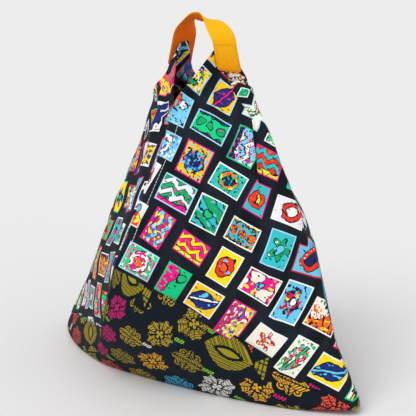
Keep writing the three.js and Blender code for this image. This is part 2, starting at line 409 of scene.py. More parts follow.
@dataclass(frozen=True)
class PlainWeave:
    """Threads over and under each other."""

    thread: float = 0.0008

    def relief(self, x: Field, y: Field) -> Field:
        """Height of the threads.

        Args:
            x: place across the cloth.
            y: place along the cloth.

        Returns:
            Height between 0 and 1.
        """
        turn = math.pi / self.thread
        return (x * turn).wave() * (y * turn).wave() * 0.5 + 0.5


@dataclass(frozen=True)
class CardPrint:
    """Cotton printed with small bordered cards, lying and standing by turns."""

    pitch: float = 0.0455
    half_wide: float = 0.45
    half_tall: float = 0.335
    border: float = 0.032
    tilt: float = 0.14
    nudge: tuple[float, float] = (0.06, 0.05)
    size_spread: tuple[float, float] = (0.08, 0.1)
    wobble: float = 0.55
    wobble_scale: float = 95.0
    outlines: tuple[float, float] = (0.045, 0.04)
    patch_scale: float = 150.0
    patch_limits: tuple[float, float] = (0.3, 0.64)
    hatch_turns: tuple[float, float] = (900.0, 1500.0)
    hatch_chance: float = 0.35
    fleck_scale: float = 230.0
    fleck_limits: tuple[float, float] = (0.34, 0.63)
    fleck_chance: float = 0.45
    painted_sheen_scale: float = 34.0
    # sheen_and_roughness_scale: size of the painted sheen and shade patches, which also vary the roughness
    sheen_and_roughness_scale: float = 14.0
    thread_depth: float = 0.0003
    seeds: tuple[float, float] = (0.5, 7.5)
    ground: str = "0B1018"
    # painted_sheen: lighter colour of the painted sheen streaks on the dark ground
    painted_sheen: str = "1D242F"
    ink: str = "151B33"
    specks: tuple[str, ...] = ("151B33", "F5F2EA", "151B33", "1F66BC")
    grounds: tuple[str, ...] = (
        "6CC8EC", "FFE01A", "12D084", "F5F0DE", "36C0C8", "ECEAF2", "7FD0F2", "F9C81E",
    )
    motifs: tuple[str, ...] = (
        "F03A1E", "1C2F80", "F0148C", "12A868", "F4731C", "1F66BC", "D81E50", "F5F2EA",
    )
    accents: tuple[str, ...] = (
        "FFE53A", "F8F6F0", "10C878", "F4602A", "1B2B60", "F8F6F0", "F0148C", "62CCF0",
    )
    borders: tuple[str, ...] = (
        "F6F5F0", "A9DAF4", "1CC880", "E0148A", "F6F5F0", "D8283C", "A9DAF4", "F6F5F0",
    )
    weave: PlainWeave = PlainWeave()

    def motif_fields(self, loom: Loom, u: Field, v: Field) -> list[tuple[Field, Field]]:
        """Figures of the cards, as a main shape and a smaller one on it; each is positive inside.

        Args:
            loom: the finish being made.
            u: place across the card, from -1 to 1.
            v: place up the card, from -1 to 1.

        Returns:
            Pairs of fields.
        """
        far = loom.math("SQRT", u * u * 1.6 + v * v)
        angle = loom.math("ARCTAN2", v, u)
        leaf_u, leaf_v = u * 0.86 + v * 0.4, v * 0.86 - u * 0.4
        dot_u, dot_v = (u * 1.5 + 0.5).part() - 0.5, (v * 1.0 + 0.5).part() - 0.5
        zigzag = (v * 1.2 + abs((u * 1.2).part() - 0.5) * 1.1).part()
        bands = (u * 0.9 + v * 0.55).part()
        petals = (angle * 5.0).wave() * 0.22 + 0.62
        sun_u, sun_v = u - 0.4, v - 0.45
        sun = 0.3 - loom.math("SQRT", sun_u * sun_u + sun_v * sun_v)
        return [
            (0.27 - abs(bands - 0.5), 0.34 - far),
            (0.74 - far, 0.38 - far),
            (0.34 - loom.math("SQRT", dot_u * dot_u + dot_v * dot_v), abs(v) - 0.8),
            ((u * 4.2).wave() * (v * 3.4).wave(), 0.3 - far),
            (0.26 - abs(zigzag - 0.5), -0.62 - v),
            (0.62 - leaf_u * leaf_u * 0.72 - abs(leaf_v), 0.1 - abs(leaf_v)),
            (petals - far, 0.27 - far),
            ((v + 0.1) * -1.0 + (u * 3.1).wave() * 0.3, sun),
        ]

    def dress(self, name: str) -> bpy.types.Material:
        """Makes the finish.

        Args:
            name: the material's name.

        Returns:
            The material.
        """
        loom = Loom(name)
        x, y = loom.cloth()
        across, along = x / self.pitch, y / self.pitch
        column, row = across.whole(), along.whole()
        first, second, third = loom.chance(column, row, self.seeds[0])
        fourth, fifth, sixth = loom.chance(column, row, self.seeds[1])
        standing = ((column + row) * 0.5).part() * 2
        aside, above = across - column - 0.5, along - row - 0.5
        tilt = (first - 0.5) * self.tilt
        flat_x = aside + above * tilt + (fourth - 0.5) * self.nudge[0]
        flat_y = above - aside * tilt + (fifth - 0.5) * self.nudge[1]
        wide = flat_x + (flat_y - flat_x) * standing
        tall = flat_y + (flat_x - flat_y) * standing
        half_wide = self.half_wide + (sixth - 0.5) * self.size_spread[0]
        half_tall = self.half_tall + (first - 0.5) * self.size_spread[1]
        edge = (abs(wide) - half_wide).most(abs(tall) - half_tall)
        wobble = (loom.noise(loom.point(x, y, third), self.wobble_scale, 1.0) - 0.5) * self.wobble
        u, v = wide / half_wide + wobble, tall / half_tall + wobble
        pairs = self.motif_fields(loom, u, v)
        kind = (second * len(pairs)).whole()
        main = small = None
        for index, (shape, dot) in enumerate(pairs):
            chosen = loom.math("COMPARE", kind, float(index), 0.1)
            main = chosen * shape if main is None else main + chosen * shape
            small = chosen * dot if small is None else small + chosen * dot
        picture = loom.mix(main > 0.0, loom.choose(third, self.grounds), loom.choose(fifth, self.motifs))
        patch = loom.noise(loom.point(x + second, y * 1.7, fifth), self.patch_scale, 0.0)
        low, high = self.patch_limits
        picture = loom.mix((patch > high) * (main > 0.0), picture, loom.choose(fourth, self.accents))
        picture = loom.mix(small > 0.0, picture, loom.choose(sixth, self.accents))
        lines = (abs(main) < self.outlines[0]).most(abs(small) < self.outlines[1])
        strokes = (x * self.hatch_turns[0] + y * self.hatch_turns[1]).wave() > 0.1
        hatch = (patch < low) * strokes * (first > self.hatch_chance)
        picture = loom.mix(lines.most(hatch), picture, shade(self.ink))
        fleck = loom.noise(loom.point(x * 1.4, y + third, second), self.fleck_scale, 0.0)
        low, high = self.fleck_limits
        busy = fifth > self.fleck_chance
        picture = loom.mix((fleck > high) * busy, picture, loom.choose(first, self.accents))
        picture = loom.mix((fleck < low) * busy, picture, loom.choose(sixth, self.specks))
        card = loom.mix(edge < -self.border, loom.choose(fourth, self.borders), picture)
        # Lighter streaks mixed into the dark ground are painted sheen, as on creases that catch the light.
        painted_sheen = loom.noise(loom.point(x * 1.3 + y * 0.5, y * 0.7 - x * 0.4), self.painted_sheen_scale, 4.0)
        ground = loom.mix((painted_sheen - 0.38) * 3.2, shade(self.ground), shade(self.painted_sheen))
        colour = loom.mix(edge < 0.0, ground, card)
        # Soft noise scales the colour lighter and darker as painted sheen and shade, and also varies the
        # roughness.
        sheen_and_roughness = loom.noise(loom.point(x, y), self.sheen_and_roughness_scale, 4.0)
        colour = loom.scaled(colour, sheen_and_roughness * 0.3 + 0.86)
        return loom.finish(colour, self.weave.relief(x, y), self.thread_depth, sheen_and_roughness * 0.2 + 0.68)


@dataclass(frozen=True)
class RosetteWeave:
    """Dark cotton with floating weft rosettes in many colours and a few large leaves."""

    step: float = 0.0011
    pitch: float = 0.056
    start: tuple[float, float] = (40.0, 30.0)
    scatter: float = 0.14
    leaf_pitch: float = 0.15
    leaf_start: tuple[float, float] = (20.683, 20.423)
    slant: tuple[float, float] = (0.77, 0.64)
    float_thread: float = 0.0008
    float_depth: float = 0.0005
    sheen_and_rough_scale: float = 60.0
    rosette_seed: float = 3.5
    sprig_seed: float = 9.5
    flower_share: float = 0.72
    bar_count: float = 12.5
    midrib: float = 0.02
    sprig_share: float = 0.6
    sprig_colours: tuple[str, ...] = ("8CD03A", "E0207F", "76C42E", "F2EFE8")
    ground: str = "09131C"
    # lit_ground: painted sheen colour of the dark ground
    lit_ground: str = "111F2C"
    leaf_colour: str = "A89A22"
    colours: tuple[str, ...] = (
        "B29C2A", "C4A930", "F0B22E", "AA9628", "EC5440", "BCA22A",
        "E0207F", "4FB8E2", "BAA02C", "F2EFE8", "8CD03A",
    )
    weave: PlainWeave = PlainWeave(0.0009)

    def lattice(self, x: Field, y: Field) -> tuple[Field, Field, Field]:
        """Staggered cells of the rosettes.

        Args:
            x: place across the cloth.
            y: place along the cloth.

        Returns:
            Place across and along, counted in cells, and the number of the row.
        """
        along = y / self.pitch + self.start[1]
        row = along.whole()
        return x / self.pitch + row * 0.5 + self.start[0], along, row

    def turned(self, aside: Field, above: Field) -> tuple[Field, Field]:
        """Place in a cell, along and beside the slant of leaves and sprigs."""
        cosine, sine = self.slant
        return aside * cosine + above * sine, above * cosine - aside * sine

    def leaflets(self, along: Field, beside: Field, reach: float, width: float) -> tuple[Field, Field]:
        """Two barred leaves that point away from the middle of a flower.

        Args:
            along: distance from the middle along both leaves.
            beside: distance from their midribs.
            reach: distance of their points.
            width: half of their greatest width.

        Returns:
            Mask of the drawn threads, and a field that is positive inside the outline.
        """
        widest = reach * 0.42
        off = (along - widest) / (reach - widest)
        outline = (1.0 - off * off) * width - beside
        bars = ((along * 0.9 + beside) * self.bar_count).part() < 0.62
        return (outline > 0.0) * bars * (beside > self.midrib), outline

    def flower(self, loom: Loom, aside: Field, above: Field) -> Field:
        """Four barred leaves crosswise, two of them longer, with a curl between each two.

        Args:
            loom: the finish being made.
            aside: place across the cell, from its middle.
            above: place along the cell, from its middle.

        Returns:
            Mask of the drawn threads.
        """
        along, beside = (abs(place) for place in self.turned(aside, above))
        longer, long_outline = self.leaflets(along, beside, 0.5, 0.145)
        shorter, short_outline = self.leaflets(beside, along, 0.38, 0.12)
        curl = loom.math("SQRT", (along - 0.2) * (along - 0.2) + (beside - 0.19) * (beside - 0.19))
        curls = (curl < 0.11) * (abs(curl - 0.056) > 0.02) * (long_outline.most(short_outline) < -0.022)
        return longer.most(shorter * (long_outline < -0.022)).most(curls)

    def sprig(self, loom: Loom, x: Field, y: Field) -> tuple[Field, Field]:
        """A short row of slanting lobes in some of the gaps between the rosettes.

        Args:
            loom: the finish being made.
            x: stepped place across the cloth.
            y: stepped place along the cloth.

        Returns:
            Mask of the drawn threads and a random number for their colour.
        """
        across, along, row = self.lattice(x, y)
        column = (across + 0.5).whole()
        kept, pick, _ = loom.chance(column, row, self.sprig_seed)
        aside, above = across - column, along - row - 0.875
        run, beside = self.turned(aside, above)
        lobes = (abs(run) < 0.15) * (abs(beside) < 0.055) * ((run * 13.0 + beside * 7.0).part() < 0.68)
        return lobes * (kept < self.sprig_share), pick

    def rosette(self, loom: Loom, x: Field, y: Field) -> tuple[Field, Field]:
        """One small rosette or flower in each cell.

        Args:
            loom: the finish being made.
            x: stepped place across the cloth.
            y: stepped place along the cloth.

        Returns:
            Mask of the drawn threads and a random number for their colour.
        """
        across, along, row = self.lattice(x, y)
        column = across.whole()
        first, second, third = loom.chance(column, row, self.rosette_seed)
        aside = across - column - 0.5 + (first - 0.5) * self.scatter
        above = along - row - 0.5 + (second - 0.5) * self.scatter
        distance = loom.math("SQRT", aside * aside + above * above * (third * 0.5 + 0.9))
        angle = loom.math("ARCTAN2", above, aside) + first * 1.6
        lobe = (angle * 4.0).wave() * 0.1 + (angle * 12.0).wave() * 0.07
        reach = (third * 0.1 + 0.42) * (lobe + 0.88)
        gap = (abs((angle * 2.0 + 0.785).wave()) * distance < 0.034) * (distance > 0.04)
        split = abs((angle * 6.0).wave()) * distance < 0.085
        ring = abs(distance - reach * 0.36) < 0.03
        vein = split * (distance > 0.16)
        rib = ((distance * 12.5 + abs((angle * 4.0).wave()) * 0.9).part() > 0.7) * (distance > 0.2)
        round_one = (distance < reach) * (1.0 - gap) * (1.0 - ring) * (1.0 - vein.most(rib))
        leafy = (first * 3.0 + second * 5.0).part() < self.flower_share
        drawn = round_one + (self.flower(loom, aside, above) - round_one) * leafy
        return drawn, second * 0.61 + third * 0.39

    def leaf(self, x: Field, y: Field) -> tuple[Field, Field]:
        """One large leaf with slanting bars and a fan at its stalk in every other cell.

        Args:
            x: stepped place across the cloth.
            y: stepped place along the cloth.

        Returns:
            Mask of the drawn threads, and of the space kept free for them.
        """
        across = x / self.leaf_pitch + self.leaf_start[0]
        along = y / self.leaf_pitch + self.leaf_start[1]
        column, row = across.whole(), along.whole()
        aside, above = self.turned(across - column - 0.5, along - row - 0.5)
        off_rib = abs(above + 0.02)
        kept = ((column + row) * 0.5).part() < 0.25
        body = 0.17 - aside * aside * 2.6 - off_rib
        bars = ((aside * 1.2 + off_rib) * 36.0).part() < 0.66
        hollow = 0.062 - aside * aside * 2.2 - off_rib
        core = hollow - 0.03
        ribbed = (body > 0.0) * bars * (1.0 - (hollow > 0.0)) + (core > 0.0)
        behind = aside - 0.27
        fan = (behind > 0.0) * (behind < 0.12) * (off_rib < behind * 0.9 + 0.03)
        fan = fan * ((off_rib * 22.0).part() < 0.7) * ((behind * 25.0).part() < 0.72)
        free = (body > -0.05).most((behind > -0.06) * (behind < 0.15) * (off_rib < 0.17))
        return kept * ribbed.most(fan), kept * free

    def dress(self, name: str) -> bpy.types.Material:
        """Makes the finish.

        Args:
            name: the material's name.

        Returns:
            The material.
        """
        loom = Loom(name)
        x, y = loom.cloth()
        stepped_x = ((x / self.step).whole() + 0.5) * self.step
        stepped_y = ((y / self.step).whole() + 0.5) * self.step
        drawn, pick = self.rosette(loom, stepped_x, stepped_y)
        sprig, sprig_pick = self.sprig(loom, stepped_x, stepped_y)
        leaf, free = self.leaf(stepped_x, stepped_y)
        # Stripes along the float threads lighten and darken the thread colours: painted shade between the
        # threads.
        thread = ((x + y) * (math.pi / self.float_thread)).wave() * 0.14 + 0.92
        # Soft noise mixes the ground towards lit_ground and scales its brightness as painted sheen and
        # shade; it also varies the roughness.
        sheen_and_rough_noise = loom.noise(loom.point(x, y), self.sheen_and_rough_scale, 3.0)
        base = loom.scaled(loom.mix(sheen_and_rough_noise, shade(self.ground), shade(self.lit_ground)), sheen_and_rough_noise * 0.6 + 0.6)
        drawn, sprig = drawn * (1.0 - free), sprig * (1.0 - free)
        colour = loom.mix(sprig, base, loom.scaled(loom.choose(sprig_pick, self.sprig_colours), thread))
        colour = loom.mix(drawn, colour, loom.scaled(loom.choose(pick, self.colours), thread))
        colour = loom.mix(leaf, colour, loom.scaled(loom.choose(pick, (self.leaf_colour,) * 2), thread))
        relief = self.weave.relief(x, y) * 0.4 + drawn.most(leaf).most(sprig) * 0.6
        return loom.finish(colour, relief, self.float_depth, sheen_and_rough_noise * 0.2 + 0.7)


@dataclass(frozen=True)
class Webbing:
    """Thick cotton webbing with a herringbone rib; its colour darkens towards the turned-in ends as painted
    shade of the folds.
    """

    colour: str = "FFC20A"
    # deep: painted shade colour at the turned-in ends
    deep: str = "F28A00"
    rib: float = 0.0019
    cord: float = 0.0019
    chevron: float = 0.0076
    length: float = 0.2
    rib_depth: float = 0.0006
    fluff_scale: float = 240.0

    def dress(self, name: str) -> bpy.types.Material:
        """Makes the finish.

        Args:
            name: the material's name.

        Returns:
            The material.
        """
        loom = Loom(name)
        x, y = loom.cloth()
        zigzag = abs((x / self.chevron).part() - 0.5) * self.chevron
        slant = ((y + zigzag) * (2 * math.pi / self.rib)).wave()
        cords = (x * (2 * math.pi / self.cord)).wave()
        relief = slant * 0.3 + cords * 0.2 + 0.5
        fluff = loom.noise(loom.point(x, y), self.fluff_scale, 4.0)
        # The colour darkens towards both ends: painted shade of the turned-in folds.
        end = loom.math("MINIMUM", abs(y) / (self.length / 2), 1.0)
        painted_end_shade = loom.math("POWER", end, 3.0)
        colour = loom.mix(painted_end_shade, shade(self.colour), shade(self.deep))
        # The rib relief also darkens the colour in the grooves as painted shade; the fluff noise is the
        # yarn's own tone.
        colour = loom.scaled(colour, relief * 0.24 + fluff * 0.3 + 0.74)
        return loom.finish(colour, relief * 0.8 + fluff * 0.4, self.rib_depth, fluff * 0.2 + 0.72)


@dataclass(frozen=True)
class Thread:
    """Twisted sewing thread, with a painted highlight on each twist and painted shade between them."""

    colour: str = "C9CDD4"
    # light: painted highlight colour on the crest of each twist
    light: str = "FFFFFF"
    twist: float = 0.0011
    twist_depth: float = 0.0002

    def dress(self, name: str) -> bpy.types.Material:
        """Makes the finish.

        Args:
            name: the material's name.

        Returns:
            The material.
        """
        loom = Loom(name)
        place = loom.node("ShaderNodeTexCoord")
        parts = loom.node("ShaderNodeSeparateXYZ")
        loom.tree.links.new(place.outputs["Object"], parts.inputs[0])
        x, y, z = (Field(loom, socket) for socket in parts.outputs)
        twist = ((x + y + z) * (2 * math.pi / self.twist)).wave() * 0.5 + 0.5
        # Mixing towards light and darkening between twists paints highlight and shade on the thread.
        colour = loom.scaled(loom.mix(twist, shade(self.colour), shade(self.light)), twist * 0.25 + 0.75)
        return loom.finish(colour, twist, self.twist_depth, twist * 0.1 + 0.6)


@dataclass(frozen=True)
class BagForm:
    """Shape of the closed bag, in metres: how far its corners, laps and tips reach at each height."""

    tip_height: float = 0.431
    corner_reach: float = 0.244
    corner_shift: float = 0.008
    corner_height: float = 0.012
    belly_reach: float = 0.084
    belly_shift: float = 0.095
    slit_height: float = 0.182
    slit_reach: float = 0.180
    slit_shift: float = 0.011
    tuck_height: float = 0.080
    ridge_swell: float = 0.006
    hem_dip: float = 0.006
    neck_reach: float = 0.038
    neck_shift: float = 0.022
    ridge_top: float = 0.048
    round_front: float = 1.28
    round_side: float = 1.14
    round_front_base: float = 1.75
    round_side_base: float = 1.35
    tip_spread: float = 0.042
    tip_turn: float = math.radians(10)
    tip_flat: float = 0.043
    tip_gather: float = 0.050
    tip_lead: float = 0.004
    tip_trail: float = 0.004
    lead_flare: float = 1.17
    trail_flare: float = 0.7
    trail_curl: float = 0.0
    curl_power: float = 1.4
    ridge_share: float = 0.8
    cloth: float = 0.0006
    lining: float = 0.0005
    fit_gap: float = 0.0003
    seam_gap: float = 0.0004
    hem_width: float = 0.014
    lap_foot: float = math.radians(6)
    lap_middle: float = math.radians(9)
    lap_top: float = 0.365
    lap_near: float = math.radians(48)
    lap_full: float = math.radians(76)
    lap_start: float = 0.064
    lap_stand_off: float = 0.0018
    base_edge: float = 0.004
    lean: float = 0.0098
    lean_foot: float = 0.050
    lean_full: float = 0.200
    lean_end: float = 0.300
    side_fold: float = 0.0032
    fold_count: float = 1.5
    fold_rise: float = 0.280
    fold_foot: float = 0.120
    fold_full: float = 0.200
    fold_rise_share: tuple[float, float] = (0.05, 0.35)
    fold_fall_share: tuple[float, float] = (0.72, 0.92)
    tip_lean: float = 0.0112
    tip_lean_heights: tuple[float, float] = (0.388, 0.444)
    tip_lean_limit: float = 1.1
    front_lean_share: float = 0.3
    corner_lift: float = 0.006
    corner_lift_reach: tuple[float, float] = (0.165, 0.235)
    crest_sag: float = 0.003
    crest_sag_heights: tuple[float, float] = (0.436, 0.464)

    @property
    def tip_foot(self) -> float:
        """Height where the flat tip starts."""
        return self.tip_height - self.tip_flat

    @property
    def tip_start(self) -> float:
        """Height where the wing starts to gather."""
        return self.tip_foot - self.tip_gather

    def slit_corner(self, z: np.ndarray) -> tuple[np.ndarray, np.ndarray]:
        """Corner of the section at the slit.

        Args:
            z: heights.

        Returns:
            Its x and y at each height.
        """
        low = np.clip(z / self.slit_height, 0, 1)
        high = np.clip((z - self.slit_height) / (self.tip_height - self.slit_height), 0, 1)
        under = z < self.slit_height
        bow = np.sin(QUARTER * low)
        low_x = lerp(-self.belly_shift, self.slit_shift, (low + bow) / 2)
        x = np.where(under, low_x, lerp(self.slit_shift, self.neck_shift, high))
        low_y = lerp(self.belly_reach, self.slit_reach, bow)
        high_y = lerp(self.slit_reach, self.neck_reach, high) - self.hem_dip * np.sin(math.pi * high)
        return x, -np.where(under, low_y, high_y)

    def ridge_corner(self, z: np.ndarray) -> tuple[np.ndarray, np.ndarray]:
        """Corner of the section along the folded ridge.

        Args:
            z: heights.

        Returns:
            Its x and y at each height.
        """
        part = np.clip((z - self.corner_height) / (self.tip_height - self.corner_height), 0, 1)
        swell = self.ridge_swell * 27 / 4 * part * (1 - part) ** 2
        return lerp(self.corner_reach, self.ridge_top, part) + swell, -self.corner_shift * (1 - part)

    def body(self, turn: np.ndarray, z: np.ndarray) -> np.ndarray:
        """Point of the closed bag.

        Args:
            turn: turn about the upright axis, 0 at the right ridge and -90 degrees at the slit.
            z: height.

        Returns:
            Points, with x, y and z last.
        """
        along, across = np.cos(turn), np.sin(turn)
        front = along * across < 0
        soft = 1 - np.where(front, ease(z, 0, self.slit_height), ease(z, 0, self.tuck_height))
        round_off = np.where(
            front,
            lerp(self.round_front, self.round_front_base, soft),
            lerp(self.round_side, self.round_side_base, soft),
        )
        ridge = np.sign(along) * np.abs(along) ** (2 / round_off)
        slit = -np.sign(across) * np.abs(across) ** (2 / round_off)
        ridge_x, ridge_y = self.ridge_corner(z)
        slit_x, slit_y = self.slit_corner(z)
        return np.stack([ridge_x * ridge + slit_x * slit, ridge_y * ridge + slit_y * slit, z + 0 * turn], -1)

    def lap(self, z: np.ndarray) -> np.ndarray:
        """How far the hems pass each other, as a turn."""
        part = np.clip((z - self.slit_height) / (self.lap_top - self.slit_height), 0, 1)
        return lerp(self.lap_foot, self.lap_middle, np.sin(math.pi * part))

    def wing(self, turn: np.ndarray, z: np.ndarray) -> np.ndarray:
        """Point of the front wing, gathered into its flat tip.

        Args:
            turn: turn about the upright axis.
            z: height.

        Returns:
            Points, with x, y and z last.
        """
        edge = QUARTER + self.lap(z)
        drop = self.tip_height - z
        half = turn / edge
        share = np.where(half < 0, self.ridge_share * (1 + half), lerp(self.ridge_share, 1, half))
        side = lerp(-self.tip_lead - self.lead_flare * drop, self.tip_trail + self.trail_flare * drop, share)
        sine, cosine = math.sin(self.tip_turn), math.cos(self.tip_turn)
        aside = self.tip_spread - self.trail_curl * drop * np.maximum(half, 0) ** self.curl_power
        flat = np.stack([aside * cosine + side * sine, side * cosine - aside * sine, z], -1)
        return lerp(self.body(turn, z), flat, ease(z, self.tip_start, self.tip_foot)[..., None])

    def outward(self, surface: Surface, turn: np.ndarray, z: np.ndarray) -> np.ndarray:
        """Outward direction of a surface given by turn and height.

        Args:
            surface: the surface.
            turn: turn about the upright axis.
            z: height.

        Returns:
            Directions of length 1.
        """
        aside, above = math.radians(1.5), 0.002
        about = surface(turn + aside, z) - surface(turn - aside, z)
        up = surface(turn, z + above) - surface(turn, z - above)
        out = np.cross(about, up)
        return out / np.linalg.norm(out, axis=-1, keepdims=True)

    def lap_stand(self, turn: np.ndarray, z: np.ndarray) -> np.ndarray:
        """How far a lap stands out from the slit, or lies under it.

        Args:
            turn: turn about the upright axis.
            z: height.

        Returns:
            Distances outwards.
        """
        near = ease(np.abs(turn), self.lap_near, self.lap_full)
        height = between(z, (self.base_edge, self.lap_start), (self.tip_start, self.tip_foot))
        return np.where(turn > 0, -1, 1) * self.lap_stand_off * near * height

    def folds(self, turn: np.ndarray, z: np.ndarray) -> np.ndarray:
        """Height of the soft folds on the side half of a wing.

        Args:
            turn: turn about the upright axis.
            z: height.

        Returns:
            Distances outwards.
        """
        share = np.maximum(np.sin(turn), 0) ** (2 / self.round_side)
        across = between(share, self.fold_rise_share, self.fold_fall_share) * (turn > 0)
        up = between(z, (self.fold_foot, self.fold_full), (self.tip_start, self.tip_foot))
        wave = np.sin(2 * math.pi * (share * self.fold_count + z / self.fold_rise))
        return self.side_fold * wave * across * up

    def seam(self, turn: np.ndarray) -> np.ndarray:
        """Height of the seam between wing and base.

        Args:
            turn: turn about the upright axis.

        Returns:
            Heights.
        """
        front = turn < 0
        power = np.where(front, 2 / self.round_front, 2 / self.round_side)
        share = np.sin(np.minimum(np.abs(turn), QUARTER)) ** power
        return lerp(self.corner_height, np.where(front, self.slit_height, self.tuck_height), share)

    def settle(self, points: np.ndarray) -> np.ndarray:
        """Lets the cloth sag: middle and tips lean, base corners lift and the crest sinks.

        Args:
            points: places before, with x, y and z last.

        Returns:
            Places after.
        """
        x, y, z = points[..., 0], points[..., 1], points[..., 2]
        lean = self.lean * between(z, (self.lean_foot, self.lean_full), (self.lean_end, self.tip_foot))
        sine, cosine = math.sin(self.tip_turn), math.cos(self.tip_turn)
        limit = self.tip_lean_limit
        reach = np.clip((x * cosine - y * sine) / self.tip_spread, -limit, limit)
        share = np.where(reach > 0, self.front_lean_share, 1.0)
        inward = self.tip_lean * share * reach * ease(z, *self.tip_lean_heights)
        move_x = lean - inward * cosine
        move_y = inward * sine
        outer = ease(np.abs(x), *self.corner_lift_reach)
        corner = self.corner_lift * outer * np.clip(1 - z / self.corner_height, 0, 1)
        move_z = corner - self.crest_sag * ease(z, *self.crest_sag_heights)
        return np.stack([x + move_x, y + move_y, z + move_z], -1)


def refined(values: np.ndarray, at: np.ndarray, count: int) -> np.ndarray:
    """Values at every step of a grid, from those at some of its steps.

    Args:
        values: flat places at the known steps, which run along the first axis.
        at: numbers of the known steps.
        count: how many steps there are.

    Returns:
        Flat places at all steps.
    """
    known = values.reshape(len(at), -1)
    filled = [np.interp(np.arange(count), at, column) for column in known.T]
    return np.stack(filled, 1).reshape(count, *values.shape[1:])


def flatten(points: np.ndarray, guess: np.ndarray, strides: Sequence[int] = (8, 4, 2, 1)) -> np.ndarray:
    """Lays a curved sheet flat so that lengths on it are kept.

    Args:
        points: places of the sheet, columns by rows.
        guess: a first flat place for each.
        strides: grid spacings, from coarse to fine.

    Returns:
        Flat places, columns by rows.
    """
    columns, rows = points.shape[:2]
    flat = guess.copy()
    for stride in strides:
        at_column = np.unique(np.append(np.arange(0, columns, stride), columns - 1))
        at_row = np.unique(np.append(np.arange(0, rows, stride), rows - 1))
        solid, sheet = points[np.ix_(at_column, at_row)], flat[np.ix_(at_column, at_row)]
        links = [
            (np.s_[:-1, :], np.s_[1:, :]), (np.s_[:, :-1], np.s_[:, 1:]),
            (np.s_[:-1, :-1], np.s_[1:, 1:]), (np.s_[:-1, 1:], np.s_[1:, :-1]),
        ]
        lengths = [np.linalg.norm(solid[b] - solid[a], axis=-1) for a, b in links]
        for _ in range(FLATTEN_PASSES * stride):
            move = np.zeros_like(sheet)
            for (a, b), length in zip(links, lengths):
                apart = sheet[b] - sheet[a]
                size = np.linalg.norm(apart, axis=-1) + 1e-9
                pull = (apart * ((size - length) / size)[..., None]) * FLATTEN_PULL
                move[a] += pull
                move[b] -= pull
            sheet = sheet + move
        flat = refined(refined(sheet, at_column, columns).swapaxes(0, 1), at_row, rows).swapaxes(0, 1)
    return flat


def column_faces(lengths: Sequence[int], closed: bool) -> list[tuple[int, ...]]:
    """Faces between neighbouring columns of points.

    A short column after a tall one gathers the rest of it, and one before a tall one leaves a free edge.

    Args:
        lengths: points in each column.
        closed: whether the last column joins the first and all of them a point in the middle.

    Returns:
        Faces as point numbers.
    """
    starts = np.concatenate([[0], np.cumsum(lengths)])
    faces: list[tuple[int, ...]] = []
    for index in range(len(lengths) if closed else len(lengths) - 1):
        after = (index + 1) % len(lengths)
        left, right = int(starts[index]), int(starts[after])
        shared = min(lengths[index], lengths[after])
        faces += [(left + r, right + r, right + r + 1, left + r + 1) for r in range(shared - 1)]
        top = right + shared - 1
        faces += [(left + r, top, left + r + 1) for r in range(shared - 1, lengths[index] - 1)]
        if closed:
            faces.append((int(starts[-1]), right, left))
    return faces


def mesh_piece(name: str, points: np.ndarray, faces: Sequence[Sequence[int]],
               flat: np.ndarray | None = None) -> bpy.types.Object:
    """A smooth mesh object.

    Args:
        name: its name.
        points: its vertices.
        faces: vertex numbers of each face.
        flat: place of each vertex on the flat cloth.

    Returns:
        The object.
    """
    mesh = bpy.data.meshes.new(name)
    mesh.from_pydata([tuple(p) for p in points], [], [tuple(f) for f in faces])
    mesh.validate()
    if flat is not None:
        layer = mesh.uv_layers.new(name=CLOTH_MAP)
        corners = np.zeros(len(mesh.loops), np.int32)
        mesh.loops.foreach_get("vertex_index", corners)
        layer.data.foreach_set("uv", np.asarray(flat, np.float32)[corners].ravel())
    mesh.polygons.foreach_set("use_smooth", [True] * len(mesh.polygons))
    made = bpy.data.objects.new(name, mesh)
    bpy.context.scene.collection.objects.link(made)
    return made


def thicken(piece: bpy.types.Object, thickness: float) -> bpy.types.Object:
    """Gives a sheet its thickness, inwards from the modelled face.

    Args:
        piece: the sheet.
        thickness: its thickness.

    Returns:
        The same sheet.
    """
    shell = piece.modifiers.new("thickness", "SOLIDIFY")
    shell.thickness = thickness
    shell.offset = -1.0
    shell.use_even_offset = False
    shell.thickness_clamp = THICKNESS_CLAMP
    return piece


